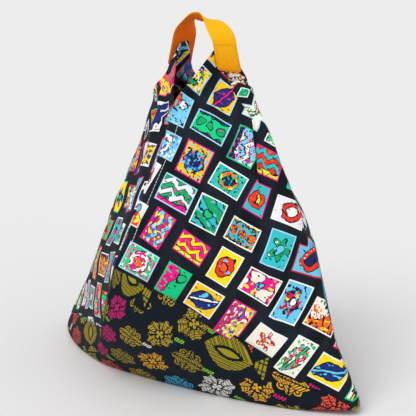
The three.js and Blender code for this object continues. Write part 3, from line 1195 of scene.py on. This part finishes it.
@dataclass
class Wing:
    """One printed square with its lining: folded along its diagonal and gathered into a tip."""

    side: Side
    form: BagForm
    columns: int = 129
    lap_columns: int = 7
    rows: int = 97
    tip_rows: int = 16
    flat_side: float = 0.38
    shift: tuple[float, float] = (0.0, 0.0)
    tip_turned: float = 0.0
    pleat: tuple[tuple[float, float], ...] = (
        (0.20, -30.0), (0.265, -27.5), (0.32, -25.0), (0.348, -18.5), (0.392, -15.5),
    )
    pleat_turn: float = math.radians(-24)
    pleat_depth: float = 0.0030
    pleat_tuck: float = 0.016
    pleat_rise: tuple[float, float] = (0.21, 0.33)
    pleat_fall: tuple[float, float] = (0.388, 0.4)
    pleat_slopes: tuple[float, float] = (0.015, 0.012)
    pleat_valley: float = 0.5
    pleat_edge: float = 0.3
    tuck_heights: tuple[float, float] = (0.2, 0.35)
    tuck_columns: int = 5
    free_turns: tuple[float, float] = (math.radians(58), math.radians(80))
    free_end: float = 0.012
    gather_fold: float = 0.0016
    gather_count: float = 7.5
    gather_start: float = 0.12
    gather_rise: tuple[float, float] = (0.26, 0.36)
    gather_fall: tuple[float, float] = (0.375, 0.392)
    neck_fullness: float = 0.009
    neck_height: float = 0.366
    neck_spread: float = 0.0135
    neck_turns: tuple[float, float] = (-0.35, 0.35)
    ripples: tuple[Ripple, ...] = (Ripple(0.0016, 5.3, 31.0), Ripple(0.0011, 9.1, -44.0, 1.3))
    drag: Ripple = Ripple(0.0012, 70.0, -24.0, 0.6)
    drag_heights: tuple[float, float] = (0.1, 0.2)
    hem_rise: float = 0.0005
    hem_step: tuple[float, float] = (-0.0015, 0.001)
    even_height: float = 0.24
    even_steps: int = 1501
    guess_side: float = 0.335
    guess_top: float = 0.05
    straight_shares: tuple[float, float] = (0.5, 0.6)
    straight_power: float = 1.5
    pieces: list[bpy.types.Object] = field(default_factory=list)

    def places(self) -> tuple[np.ndarray, np.ndarray, np.ndarray]:
        """Share across, turn and height of each point of the grid.

        Returns:
            Three arrays, columns by rows.
        """
        form = self.form
        steps, laps = self.turns()
        foot = form.seam(steps + laps * form.lap_foot) + form.seam_gap
        low = lerp(foot[:, None], form.tip_foot, np.linspace(0, 1, self.rows)[None, :])
        high = np.linspace(form.tip_foot, form.tip_height - self.tip_turned, self.tip_rows + 1)[1:]
        z = np.concatenate([low, np.tile(high, (self.columns, 1))], 1)
        across = np.repeat(np.linspace(0, 1, self.columns)[:, None], z.shape[1], 1)
        turn = steps[:, None] + laps[:, None] * form.lap(np.maximum(z, form.slit_height))
        return across, self.along_pleat(steps, turn, z), z

    def fold(self) -> int:
        """Number of the column that follows the pleat."""
        return int(np.argmin(np.abs(self.turns()[0] - self.pleat_turn)))

    def along_pleat(self, steps: np.ndarray, turn: np.ndarray, z: np.ndarray) -> np.ndarray:
        """Shifts the columns of the front half so that two of them run along the pleat.

        Args:
            steps: even turn of each column.
            turn: turn of each point.
            z: height of each point.

        Returns:
            Shifted turns.
        """
        fold = self.fold()
        heights, degrees = zip(*self.pleat)
        shift = np.radians(np.interp(z[fold], heights, degrees)) - steps[fold]
        index = np.arange(len(steps))
        first, last = self.lap_columns, self.columns // 2
        before, after = (index - first) / (fold - first), (last - index) / (last - fold)
        weight = np.clip(np.minimum(before, after), 0, 1)
        turn = turn + weight[:, None] * shift[None, :]
        turn[fold + 1] = lerp(turn[fold], turn[fold + 2], self.pleat_edge)
        return turn

    def turns(self) -> tuple[np.ndarray, np.ndarray]:
        """Turn of each column, evenly spaced along the cloth, and its share of the lap.

        Returns:
            Both, one value for each column.
        """
        fine = np.linspace(0, QUARTER, self.even_steps)
        halves = []
        for way in (-1, 1):
            line = self.form.body(way * fine, np.full(len(fine), self.even_height))
            run = lengths_along(line)
            count = (self.columns + 1) // 2 - self.lap_columns
            halves.append(way * np.interp(np.linspace(0, run[-1], count), run, fine))
        flat = np.full(self.lap_columns, QUARTER)
        out = np.linspace(0, 1, self.lap_columns + 1)[1:]
        steps = np.concatenate([-flat, halves[0][::-1], halves[1][1:], flat])
        laps = np.concatenate([-out[::-1], np.zeros(len(steps) - 2 * len(out)), out])
        return steps, laps

    def relief(self, across: np.ndarray, turn: np.ndarray, z: np.ndarray, run: np.ndarray) -> np.ndarray:
        """Folds and dents of the cloth, outwards.

        Args:
            across: share across the wing.
            turn: turn about the upright axis.
            z: height.
            run: length from the slit hem, along each row.

        Returns:
            Height of the cloth above its smooth form.
        """
        form = self.form
        free = 1 - ease(np.abs(turn), *self.free_turns)
        body = free * (1 - ease(z, form.tip_start + self.free_end, form.tip_foot))
        gather = between(z, self.gather_rise, self.gather_fall) * free
        wave = np.cos(2 * math.pi * (across * self.gather_count + self.gather_start))
        folds = self.gather_fold * wave * gather
        soft = sum(ripple.at(turn, z) for ripple in self.ripples)
        drag = self.drag.at(run, z) * ease(z, *self.drag_heights)
        gap = run - run[self.fold()][None, :]
        deep = self.pleat_depth * between(z, self.pleat_rise, self.pleat_fall)
        before, after = self.pleat_slopes
        ridge = np.exp(np.minimum(gap, 0) / before)
        valley = -self.pleat_valley * np.exp(-np.maximum(gap, 0) / after)
        pleat = deep * np.where(gap <= 0, ridge, valley)
        neck = np.exp(-(((z - self.neck_height) / self.neck_spread) ** 2)) * ease(turn, *self.neck_turns)
        return folds + (soft + drag) * body + form.folds(turn, z) + pleat + self.neck_fullness * neck

    def sheet(self) -> tuple[np.ndarray, np.ndarray, np.ndarray, tuple[int, int]]:
        """Points, outward directions and flat places of the cloth's outer face.

        Returns:
            Points, directions, flat places, and the grid's size.
        """
        form = self.form
        across, turn, z = self.places()
        out = form.outward(form.wing, turn, z)
        points = form.wing(turn, z) + out * form.lap_stand(turn, z)[..., None]
        steps = np.linalg.norm(np.diff(points, axis=0), axis=-1)
        run = np.concatenate([np.zeros((1, points.shape[1])), np.cumsum(steps, 0)], 0)
        left = run[-1:] - run
        hem = 1 - ease(np.minimum(run, left), *(form.hem_width + step for step in self.hem_step))
        height = self.relief(across, turn, z, run) + self.hem_rise * hem
        points = points + out * height[..., None]
        return points, out, self.flat_places(points, across), points.shape[:2]

    def placed(self, points: np.ndarray) -> np.ndarray:
        """Points of the front turned to this wing's side and settled, as one list."""
        return self.form.settle(self.side.place(points)).reshape(-1, 3)

    def flat_places(self, points: np.ndarray, across: np.ndarray) -> np.ndarray:
        """Place of each point on the flat square, foot of the slit at the origin.

        Args:
            points: places of the sheet.
            across: share across the wing.

        Returns:
            Flat places.
        """
        size, tip = self.guess_side, self.guess_top
        foot = np.stack([np.clip(2 * across, 0, 1), np.clip(2 * across - 1, 0, 1)], -1) * size
        top = np.stack([tip * across, size - tip * (1 - across)], -1)
        rise = np.linspace(0, 1, points.shape[1])[None, :, None]
        flat = flatten(points, lerp(foot, top, rise))
        start, corner = flat[self.lap_columns, 0], flat[self.columns // 2, 0]
        along = (corner - start) / np.linalg.norm(corner - start)
        beside = np.array([-along[1], along[0]])
        turned = np.stack([(flat - start) @ along, (flat - start) @ beside], -1)
        front = 1 - ease(across[:, :1], *self.straight_shares)
        turned[..., 1] -= turned[:, :1, 1] * front * (1 - rise[..., 0]) ** self.straight_power
        fold = self.fold()
        aside = turned[fold + self.tuck_columns] - turned[fold]
        aside /= np.linalg.norm(aside, axis=-1, keepdims=True)
        tuck = self.pleat_tuck * ease(points[fold, :, 2], *self.tuck_heights)
        turned[fold + 1:] += (aside * tuck[:, None])[None]
        return turned + np.array(self.shift)

    def build(self) -> list[bpy.types.Object]:
        """Makes the outer cloth and the lining.

        Returns:
            Both pieces.
        """
        form = self.form
        points, out, flat, grid = self.sheet()
        faces = column_faces([grid[1]] * grid[0], False)
        name = self.side.value
        outer = mesh_piece(f"{name}_panel", self.placed(points), faces, flat.reshape(-1, 2))
        thicken(outer, form.cloth)
        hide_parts(f"{name}_wing")
        within = points - out * (form.cloth + form.fit_gap)
        lining = mesh_piece(f"{name}_lining", self.placed(within), faces, flat.reshape(-1, 2))
        thicken(lining, form.lining)
        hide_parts(f"{name}_wing_lining")
        for piece in (outer, lining):
            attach(piece, "bag")
        self.pieces = [outer, lining]
        return self.pieces

    def dress(self, finish: bpy.types.Material) -> None:
        """Puts the printed cotton on both cloths."""
        for piece in self.pieces:
            piece.data.materials.append(finish)


@dataclass
class BaseCloth:
    """The square that carries the bag, with its lining: flat underneath, walls up to the seams."""

    form: BagForm
    front_columns: int = 61
    side_columns: int = 45
    low_rows: int = 22
    high_rows: int = 24
    rings: tuple[float, ...] = (0.06, 0.14, 0.24, 0.34, 0.44, 0.54, 0.64, 0.74, 0.83, 0.91, 0.97)
    tuck_edge: float = math.radians(1.5)
    ripples: tuple[Ripple, ...] = (Ripple(0.0014, 6.2, 40.0), Ripple(0.001, 11.0, -55.0, 0.8))
    free_turns: tuple[float, float] = (math.radians(60), math.radians(82))
    dent_heights: tuple[float, float] = (0.01, 0.05)
    edge_step: float = 0.02
    flat_side: float = 0.38
    pieces: list[bpy.types.Object] = field(default_factory=list)

    @property
    def tuck_turn(self) -> float:
        """Turn where the side wall ends, beside the lap at the slit."""
        return QUARTER - self.form.lap_foot - self.tuck_edge

    def half(self, offset: float) -> tuple[list[np.ndarray], list[np.ndarray]]:
        """Columns of half the base, from the middle of the floor to the rim.

        Args:
            offset: distance outwards from the modelled face.

        Returns:
            Points and flat places of each column.
        """
        form = self.form
        share = (form.tuck_height - form.base_edge) / (form.slit_height - form.base_edge)
        front = np.linspace(-QUARTER - form.lap_foot, -self.tuck_edge, self.front_columns)
        side = np.linspace(0, self.tuck_turn, self.side_columns)
        points, flats = [], []
        for turn in np.concatenate([front, side]):
            top = float(form.seam(np.array(turn)))
            low_top = lerp(form.base_edge, top, share) if turn < 0 else top
            heights = np.linspace(form.base_edge, low_top, self.low_rows)
            if turn < 0:
                heights = np.concatenate([heights, np.linspace(low_top, top, self.high_rows)[1:]])
            column, flat = self.column(float(turn), heights, offset)
            points.append(column)
            flats.append(flat)
        return points, flats

    def stand(self, turn: float, z: np.ndarray) -> np.ndarray:
        """How far the wall stands out beside the slit: the front fold lies over the side.

        Args:
            turn: turn about the upright axis.
            z: heights.

        Returns:
            Distances outwards.
        """
        form = self.form
        size = np.abs(form.lap_stand(np.array(turn), z))
        if turn < 0:
            return size
        return size * lerp(-1, 1, ease(turn, form.lap_full, self.tuck_turn))

    def column(self, turn: float, heights: np.ndarray, offset: float) -> tuple[np.ndarray, np.ndarray]:
        """One column of points and its place on the flat cloth.

        Args:
            turn: turn about the upright axis.
            heights: heights of its wall.
            offset: distance outwards from the modelled face.

        Returns:
            Points and flat places.
        """
        form = self.form
        turns = np.full(len(heights), turn)
        out = form.outward(form.body, turns, heights)
        free = 1 - float(ease(abs(turn), *self.free_turns))
        dents = sum(ripple.at(turn, heights) for ripple in self.ripples)
        rise = self.stand(turn, heights) + offset + dents * free * ease(heights, *self.dent_heights)
        wall = form.body(turns, heights) + out * rise[:, None]
        edge = form.body(np.array(turn), np.array(0.0))
        floor = np.array([edge * [ring, ring, 0] + [0, 0, -offset] for ring in self.rings])
        near = form.body(np.array([turn - self.edge_step, turn + self.edge_step]), np.zeros(2))
        along = (near[1] - near[0])[:2]
        normal = np.array([along[1], -along[0]]) / np.linalg.norm(along)
        climb = form.base_edge + lengths_along(wall)
        flat = np.concatenate([floor[:, :2], edge[:2] + normal * climb[:, None]])
        return np.concatenate([floor, wall]), flat

    def face(self, name: str, offset: float, thickness: float) -> bpy.types.Object:
        """One of the two cloths.

        Args:
            name: the piece's name.
            offset: distance outwards from the modelled face.
            thickness: the cloth's thickness.

        Returns:
            The piece.
        """
        points, flats = self.half(offset)
        columns = points + [Side.BACK.place(column) for column in points]
        flat = np.concatenate([*flats, *[-f for f in flats], [[0, 0]]])
        lengths = [len(column) for column in columns]
        all_points = np.concatenate([*columns, [[0, 0, -offset]]])
        made = mesh_piece(name, self.form.settle(all_points), column_faces(lengths, True), flat)
        return thicken(made, thickness)

    def build(self) -> list[bpy.types.Object]:
        """Makes the outer cloth and the lining.

        Returns:
            Both pieces.
        """
        form = self.form
        outer = self.face("base_panel", 0.0, form.cloth)
        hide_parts("base_cloth")
        lining = self.face("base_lining_panel", -form.cloth - form.fit_gap, form.lining)
        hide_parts("base_lining")
        for piece in (outer, lining):
            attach(piece, "bag")
        self.pieces = [outer, lining]
        return self.pieces

    def dress(self, finish: bpy.types.Material) -> None:
        """Puts the woven cotton on both cloths."""
        for piece in self.pieces:
            piece.data.materials.append(finish)


@dataclass
class StitchRow:
    """A row of single stitches that dip into the cloth at both ends."""

    name: str
    replaces: str
    slot: str
    length: float = 0.0038
    gap: float = 0.0006
    radius: float = 0.00042
    sides: int = 6
    sit: float = 0.35
    profile: tuple[tuple[float, float, float], ...] = (
        (0.0, 0.45, -0.4), (0.12, 0.85, 0.3), (0.5, 1.0, 0.75), (0.88, 0.85, 0.3), (1.0, 0.45, -0.4),
    )

    def stitch(
        self, start: np.ndarray, end: np.ndarray, out: np.ndarray,
    ) -> tuple[np.ndarray, list[tuple[int, ...]]]:
        """One stitch.

        Args:
            start: where it leaves the cloth.
            end: where it enters again.
            out: direction away from the cloth.

        Returns:
            Points and faces.
        """
        along = (end - start) / np.linalg.norm(end - start)
        out = out - along * (out @ along)
        out = out / np.linalg.norm(out)
        aside = np.cross(along, out)
        points, faces = [], []
        for part, size, height in self.profile:
            centre = lerp(start, end, part) + out * self.radius * (height + self.sit)
            for side in range(self.sides):
                angle = 2 * math.pi * side / self.sides
                away = aside * math.cos(angle) + out * math.sin(angle)
                points.append(centre + self.radius * size * away)
        for ring in range(len(self.profile) - 1):
            for side in range(self.sides):
                a, b = ring * self.sides + side, ring * self.sides + (side + 1) % self.sides
                faces.append((a, a + self.sides, b + self.sides, b))
        last = (len(self.profile) - 1) * self.sides
        faces.append(tuple(range(self.sides)))
        faces.append(tuple(last + side for side in reversed(range(self.sides))))
        return np.array(points), faces

    def build(self, path: np.ndarray, out: np.ndarray) -> bpy.types.Object:
        """Sews along a path.

        Args:
            path: points on the cloth.
            out: direction away from the cloth at each.

        Returns:
            The piece.
        """
        run = lengths_along(path)
        count = int(run[-1] // (self.length + self.gap))
        pitch = run[-1] / count
        points, faces, offset = [], [], 0
        for index in range(count):
            start = index * pitch + self.gap / 2
            end = start + pitch - self.gap
            first, last = at_length(path, run, start), at_length(path, run, end)
            made, quads = self.stitch(first, last, at_length(out, run, start))
            faces += [tuple(corner + offset for corner in quad) for quad in quads]
            points.append(made)
            offset += len(made)
        piece = mesh_piece(self.name, np.concatenate(points), faces)
        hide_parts(self.replaces)
        return piece


@dataclass
class HemStitching:
    """The rows of stitches along both hems of one wing."""

    wing: Wing
    first_row: int = 2
    top: float = 0.352
    pieces: list[bpy.types.Object] = field(default_factory=list)

    def row(self, hem: Hem) -> tuple[np.ndarray, np.ndarray]:
        """Line of one row on the wing.

        Args:
            hem: which edge it follows.

        Returns:
            Points and outward directions.
        """
        points, out, _, _ = self.wing.sheet()
        if hem is Hem.UNDER:
            points, out = points[::-1], out[::-1]
        width = self.wing.form.hem_width
        line, away = [], []
        for row in range(self.first_row, points.shape[1]):
            column = points[:, row]
            run = lengths_along(column)
            place = at_length(column, run, width)
            if place[2] > self.top:
                break
            line.append(place)
            away.append(at_length(out[:, row], run, width))
        return np.array(line), np.array(away)

    def build(self) -> list[bpy.types.Object]:
        """Sews both hems.

        Returns:
            Both rows.
        """
        side = self.wing.side
        for hem in Hem:
            line, away = self.row(hem)
            name = f"{side.value}_{hem.value}_hem"
            row = StitchRow(f"{name}_row", f"{name}_stitch", "hem_thread")
            piece = row.build(self.wing.placed(line), side.place(away))
            self.pieces.append(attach(piece, "bag"))
        return self.pieces

    def dress(self, finish: bpy.types.Material) -> None:
        """Puts the thread on both rows."""
        for piece in self.pieces:
            piece.data.materials.append(finish)


@dataclass
class Handle:
    """Webbing loop over both tips, with a facing inside and a box of stitches at each end."""

    form: BagForm
    width: float = 0.038
    webbing: float = 0.0018
    ribbon: float = 0.001
    sewn: float = 0.036
    shoulder: float = 0.001
    crest_height: float = 0.034
    front_bend: tuple[float, float] = (0.38, 0.36)
    back_bend: tuple[float, float] = (0.7, 0.62)
    facing_inset: float = 0.0016
    stitch_inset: float = 0.003
    stitch_length: float = 0.0026
    stitch_gap: float = 0.0012
    stitch_radius: float = 0.0003
    box_steps: int = 12
    box_swell: float = 0.0006
    box_swell_heights: tuple[float, float] = (0.004, 0.012)
    end_swell: float = 0.5
    end_turned: tuple[float, float] = (0.008, 0.014)
    end_round: float = 0.002
    corner_round: float = 0.004
    selvedge: float = 0.0012
    edge_crowding: float = 1.6
    twist: float = math.radians(52)
    twist_rise: float = 0.026
    back_twist_rise: float = 0.014
    back_twist_drop: float = 0.002
    back_part: tuple[float, float] = (0.4, 0.6)
    twist_part: tuple[float, float] = (0.0, 0.55)
    crest_rise: tuple[float, float] = (0.2, 0.5)
    crest_fall: tuple[float, float] = (0.6, 1.0)
    roll: float = math.radians(22)
    sway: float = 0.006
    sink: float = 0.003
    slant: float = math.radians(10)
    slant_top: float = 0.012
    slant_bend: float = 0.006
    slant_ease: float = 0.02
    across: int = 15
    limb_rows: int = 22
    arch_rows: int = 25
    pieces: list[bpy.types.Object] = field(default_factory=list)

    def path(self, inner: float) -> tuple[np.ndarray, np.ndarray]:
        """Line along one band, on its inner face, from the front end to the back end.

        Args:
            inner: distance of its inner face from the middle.

        Returns:
            Points and outward directions in the handle's own plane: aside and up.
        """
        form = self.form
        foot = form.tip_height - self.sewn
        rest = self.crest_height - self.shoulder - self.webbing - self.ribbon - 2 * form.fit_gap
        crest = rest + inner - form.tip_spread
        shoulder = form.tip_height + self.shoulder
        limb = [(inner, z) for z in np.linspace(foot, shoulder, self.limb_rows)[:-1]]
        part = np.linspace(0, 1, self.arch_rows)[:, None]
        weights = ((1 - part) ** 3, 3 * part * (1 - part) ** 2, 3 * part ** 2 * (1 - part), part ** 3)
        halves = []
        for lift, flank in (self.front_bend, self.back_bend):
            corners = np.array([
                (inner, shoulder), (inner, shoulder + crest * lift),
                (inner * flank, shoulder + crest), (0, shoulder + crest),
            ])
            rise = sum(weight * corner for weight, corner in zip(weights, corners))
            halves.append(np.concatenate([np.array(limb), rise]))
        line = np.concatenate([halves[0], halves[1][-2::-1] * [-1, 1]])
        along = np.gradient(line, axis=0)
        along /= np.linalg.norm(along, axis=1, keepdims=True)
        return line, np.stack([along[:, 1], -along[:, 0]], 1)

    def place(self, aside: np.ndarray, depth: np.ndarray, up: np.ndarray) -> np.ndarray:
        """Points of the handle's own plane in the bag's frame."""
        sine, cosine = math.sin(self.form.tip_turn), math.cos(self.form.tip_turn)
        return np.stack([aside * cosine + depth * sine, depth * cosine - aside * sine, up], -1)

    def turned(self, aside: float, z: float) -> tuple[float, float]:
        """Turn of the loose webbing about the upright axis, and how near it is to the crest.

        Args:
            aside: place along the loop, 1 at the front leg and -1 at the back leg.
            z: height.

        Returns:
            The turn, and a share that is 1 at the crest.
        """
        past = 0.5 - aside / 2
        back = ease(past, *self.back_part)
        start = self.form.tip_height - self.back_twist_drop * back
        loose = ease(z, start, self.form.tip_height + self.twist_rise + self.back_twist_rise * back)
        crest = between(past, self.crest_rise, self.crest_fall)
        return self.twist * ease(past, *self.twist_part) * loose, crest * loose

    def slanted(self, deep: np.ndarray, up: np.ndarray) -> tuple[np.ndarray, np.ndarray]:
        """Leans the front leg to one side, as it is sewn on.

        Args:
            deep: places across the upright leg.
            up: their heights.

        Returns:
            Places across and heights of the leaning leg.
        """
        drop = np.maximum(self.form.tip_height + self.slant_top - up, 0)
        lean = math.tan(self.slant)
        aside = lean * drop ** 2 / (drop + self.slant_bend)
        return deep + aside, up - lean * deep * ease(drop, 0, self.slant_ease)

    def band(
        self, name: str, inner: float, thickness: float, width: float, swell: float = 0.0,
    ) -> bpy.types.Object:
        """A flat band with rounded selvedges.

        Args:
            name: the piece's name.
            inner: distance of its inner face from the middle.
            thickness: its thickness.
            width: its width.
            swell: how much thicker its turned-in ends are.

        Returns:
            The piece.
        """
        line, normal = self.path(inner)
        run = lengths_along(line)
        from_end = np.minimum(run, run[-1] - run)
        end = 1 + swell * (1 - ease(from_end, *self.end_turned))
        tuck = np.sqrt(np.clip(1 - (1 - np.clip(from_end / self.end_round, 0, 1)) ** 2, 0.02, 1))
        round_off = np.clip(1 - from_end / self.corner_round, 0, 1)
        inset = self.corner_round * (1 - np.sqrt(1 - round_off ** 2))
        ring = np.linspace(-1, 1, self.across)
        spread = np.sign(ring) * (1 - (1 - np.abs(ring)) ** self.edge_crowding) * width / 2
        edge = np.clip((np.abs(spread) - (width / 2 - self.selvedge)) / self.selvedge, 0, 1)
        full = np.sqrt(np.clip(1 - edge ** 2, 0.03, 1))
        points, flat = [], []
        for index in range(len(line)):
            level = thickness * end[index] * tuck[index]
            outer = thickness / 2 + (level * full - level / 2) * 0.5 + level * full * 0.25
            inside = thickness / 2 - thickness * full[::-1] * 0.5 * tuck[index]
            lift = np.concatenate([outer, inside])
            depth = spread * (1 - 2 * inset[index] / width)
            wide = np.concatenate([depth, depth[::-1]])
            twist, crest = self.turned(line[index, 0] / inner, line[index, 1])
            roll = self.roll * crest
            out, breadth = normal[index, 0] * lift, wide * np.cos(roll)
            aside = line[index, 0] - self.sway * crest + out * np.cos(twist) - breadth * np.sin(twist)
            deep = breadth * np.cos(twist) + out * np.sin(twist)
            up = line[index, 1] - self.sink * crest + normal[index, 1] * lift - wide * np.sin(roll)
            if line[index, 0] > 0:
                deep, up = self.slanted(deep, up)
            points.append(self.form.settle(self.place(aside, deep, up)))
            flat.append(np.stack([wide, np.full(len(wide), run[index] - run[-1] / 2)], -1))
        loop = 2 * self.across
        faces = []
        for index in range(len(line) - 1):
            for corner in range(loop):
                after = (corner + 1) % loop
                a, b = index * loop + corner, index * loop + after
                faces.append((a, b, b + loop, a + loop))
        faces.append(tuple(reversed(range(loop))))
        faces.append(tuple((len(line) - 1) * loop + corner for corner in range(loop)))
        return mesh_piece(name, np.concatenate(points), faces, np.concatenate(flat))

    def end_box(self, side: Side, outer: float) -> tuple[np.ndarray, np.ndarray]:
        """Rectangle of stitches on one sewn end.

        Args:
            side: which end.
            outer: distance of the webbing's outer face from the middle.

        Returns:
            Points and outward directions.
        """
        wide = self.width / 2 - self.stitch_inset
        tall = self.sewn / 2 - self.stitch_inset
        middle = self.form.tip_height - self.sewn / 2
        corners = np.array([(-wide, -tall), (wide, -tall), (wide, tall), (-wide, tall), (-wide, -tall)])
        sides = [np.linspace(a, b, self.box_steps)[:-1] for a, b in zip(corners[:-1], corners[1:])]
        steps = np.concatenate([*sides, corners[-1:]])
        swell = self.box_swell * (1 - ease(steps[:, 1] + tall, *self.box_swell_heights))
        deep, up = steps[:, 0], middle + steps[:, 1]
        if side is Side.FRONT:
            deep, up = self.slanted(deep, up)
        line = self.place(outer + swell, deep, up)
        out = self.place(np.ones(len(steps)), np.zeros(len(steps)), np.zeros(len(steps)))
        return self.form.settle(side.place(line)), side.place(out)

    def build(self) -> list[bpy.types.Object]:
        """Makes webbing, facing and end stitches.

        Returns:
            All pieces.
        """
        form = self.form
        ribbon_face = form.tip_spread + form.fit_gap
        webbing_face = ribbon_face + self.ribbon + form.fit_gap
        strap = self.band("handle_strap", webbing_face, self.webbing, self.width, self.end_swell)
        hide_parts("handle_webbing")
        facing = self.band("handle_ribbon", ribbon_face, self.ribbon, self.width - 2 * self.facing_inset)
        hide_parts("handle_facing")
        self.pieces = [strap, facing]
        for side in Side:
            row = StitchRow(
                f"{side.value}_end_row", f"{side.value}_end_stitch", "webbing_thread",
                length=self.stitch_length, gap=self.stitch_gap, radius=self.stitch_radius,
            )
            self.pieces.append(row.build(*self.end_box(side, webbing_face + self.webbing)))
        for piece in self.pieces:
            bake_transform(piece)
        return self.pieces

    def dress(
        self, strap: bpy.types.Material, facing: bpy.types.Material, thread: bpy.types.Material,
    ) -> None:
        """Puts webbing, facing and thread on the pieces."""
        for piece, finish in zip(self.pieces, (strap, facing, thread, thread)):
            piece.data.materials.append(finish)


@dataclass
class Studio:
    """Pale floor, soft lamps and the camera."""

    turn: float = math.radians(40)
    rise: float = math.radians(15)
    distance: float = 1.6
    aim: tuple[float, float, float] = (0.0059, 0.0049, 0.215)
    lens: float = 108.2
    sensor: float = 36.0
    floor_reach: float = 30.0
    floor_colours: tuple[str, str] = ("E9E8E9", "EDECED")
    grain_scale: float = 400.0
    grain_depth: float = 0.00005
    matt: float = 0.9
    sky_light: float = 0.62

    def floor(self) -> bpy.types.Object:
        """Pale floor with a faint grain.

        Returns:
            The floor.
        """
        size = self.floor_reach
        corners = np.array([(-size, -size, 0), (size, -size, 0), (size, size, 0), (-size, size, 0)])
        made = mesh_piece("floor", corners, [(0, 1, 2, 3)], corners[:, :2])
        loom = Loom("pale_floor")
        x, y = loom.cloth()
        grain = loom.noise(loom.point(x, y), self.grain_scale)
        colour = loom.mix(grain, *(shade(code) for code in self.floor_colours))
        made.data.materials.append(loom.finish(colour, grain, self.grain_depth, self.matt))
        return made

    def lamp(self, name: str, aside: float, back: float, up: float, power: float, spread: float) -> None:
        """A far soft lamp placed as the camera sees it, with the same light on all of the floor.

        Args:
            name: its name.
            aside: share of its direction to the camera's right.
            back: share towards the camera.
            up: share upwards.
            power: its strength.
            spread: the angle it covers, in degrees.
        """
        light = bpy.data.lights.new(name, "SUN")
        light.energy = power
        light.angle = math.radians(spread)
        made = bpy.data.objects.new(name, light)
        right = Vector((math.cos(self.turn), math.sin(self.turn), 0))
        towards = Vector((math.sin(self.turn), -math.cos(self.turn), 0))
        made.location = right * aside + towards * back + Vector((0, 0, up))
        made.rotation_euler = (-made.location).to_track_quat("-Z", "Y").to_euler()
        bpy.context.scene.collection.objects.link(made)

    def camera(self) -> None:
        """Camera at the photograph's angle."""
        data = bpy.data.cameras.new("camera")
        data.lens = self.lens
        data.sensor_width = self.sensor
        made = bpy.data.objects.new("camera", data)
        back = Vector((
            math.sin(self.turn) * math.cos(self.rise),
            -math.cos(self.turn) * math.cos(self.rise),
            math.sin(self.rise),
        ))
        made.location = Vector(self.aim) + back * self.distance
        made.rotation_euler = (-back).to_track_quat("-Z", "Y").to_euler()
        bpy.context.scene.collection.objects.link(made)
        bpy.context.scene.camera = made

    def build(self) -> None:
        """Sets up floor, sky light, lamps and camera."""
        self.floor()
        world = bpy.data.worlds.new("studio")
        world.use_nodes = True
        sky = world.node_tree.nodes["Background"]
        sky.inputs[0].default_value = (1.0, 1.0, 1.0, 1.0)
        sky.inputs[1].default_value = self.sky_light
        bpy.context.scene.world = world
        self.lamp("key", aside=-1.1, back=1.3, up=2.0, power=1.45, spread=38.0)
        self.lamp("fill", aside=1.6, back=1.4, up=1.0, power=0.45, spread=60.0)
        self.camera()
        bpy.context.scene.view_settings.view_transform = "Standard"


def main() -> None:
    """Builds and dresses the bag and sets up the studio."""
    form = BagForm()
    card_print = CardPrint().dress("card_print")
    rosettes = RosetteWeave().dress("rosette_weave")
    hem_thread = Thread().dress("hem_thread")
    base = BaseCloth(form)
    base.build()
    base.dress(rosettes)
    made = list(base.pieces)
    front = Wing(Side.FRONT, form)
    curled = replace(form, lead_flare=0.35, trail_curl=0.7)
    back = Wing(Side.BACK, curled, shift=(0.52, 0.312), tip_turned=0.006, neck_fullness=0.005)
    for wing in (front, back):
        wing.build()
        wing.dress(card_print)
        stitching = HemStitching(wing)
        stitching.build()
        stitching.dress(hem_thread)
        made += wing.pieces + stitching.pieces
    handle = Handle(form)
    handle.build()
    handle.dress(
        Webbing().dress("amber_webbing"),
        # The facing's second colour is its painted shade at the turned-in ends.
        Webbing("FF7A0E", "FF6204", rib=0.0014).dress("orange_facing"),
        # The amber thread's second colour is its painted highlight.
        Thread("F09A06", "F7AE10").dress("amber_thread"),
    )
    made += handle.pieces
    for piece in made:
        LOG.info("piece %s: %d vertices", piece.name, len(piece.data.vertices))
    Studio().build()
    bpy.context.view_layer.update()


if __name__ == "__main__":
    logging.basicConfig(level=logging.INFO)
    main()
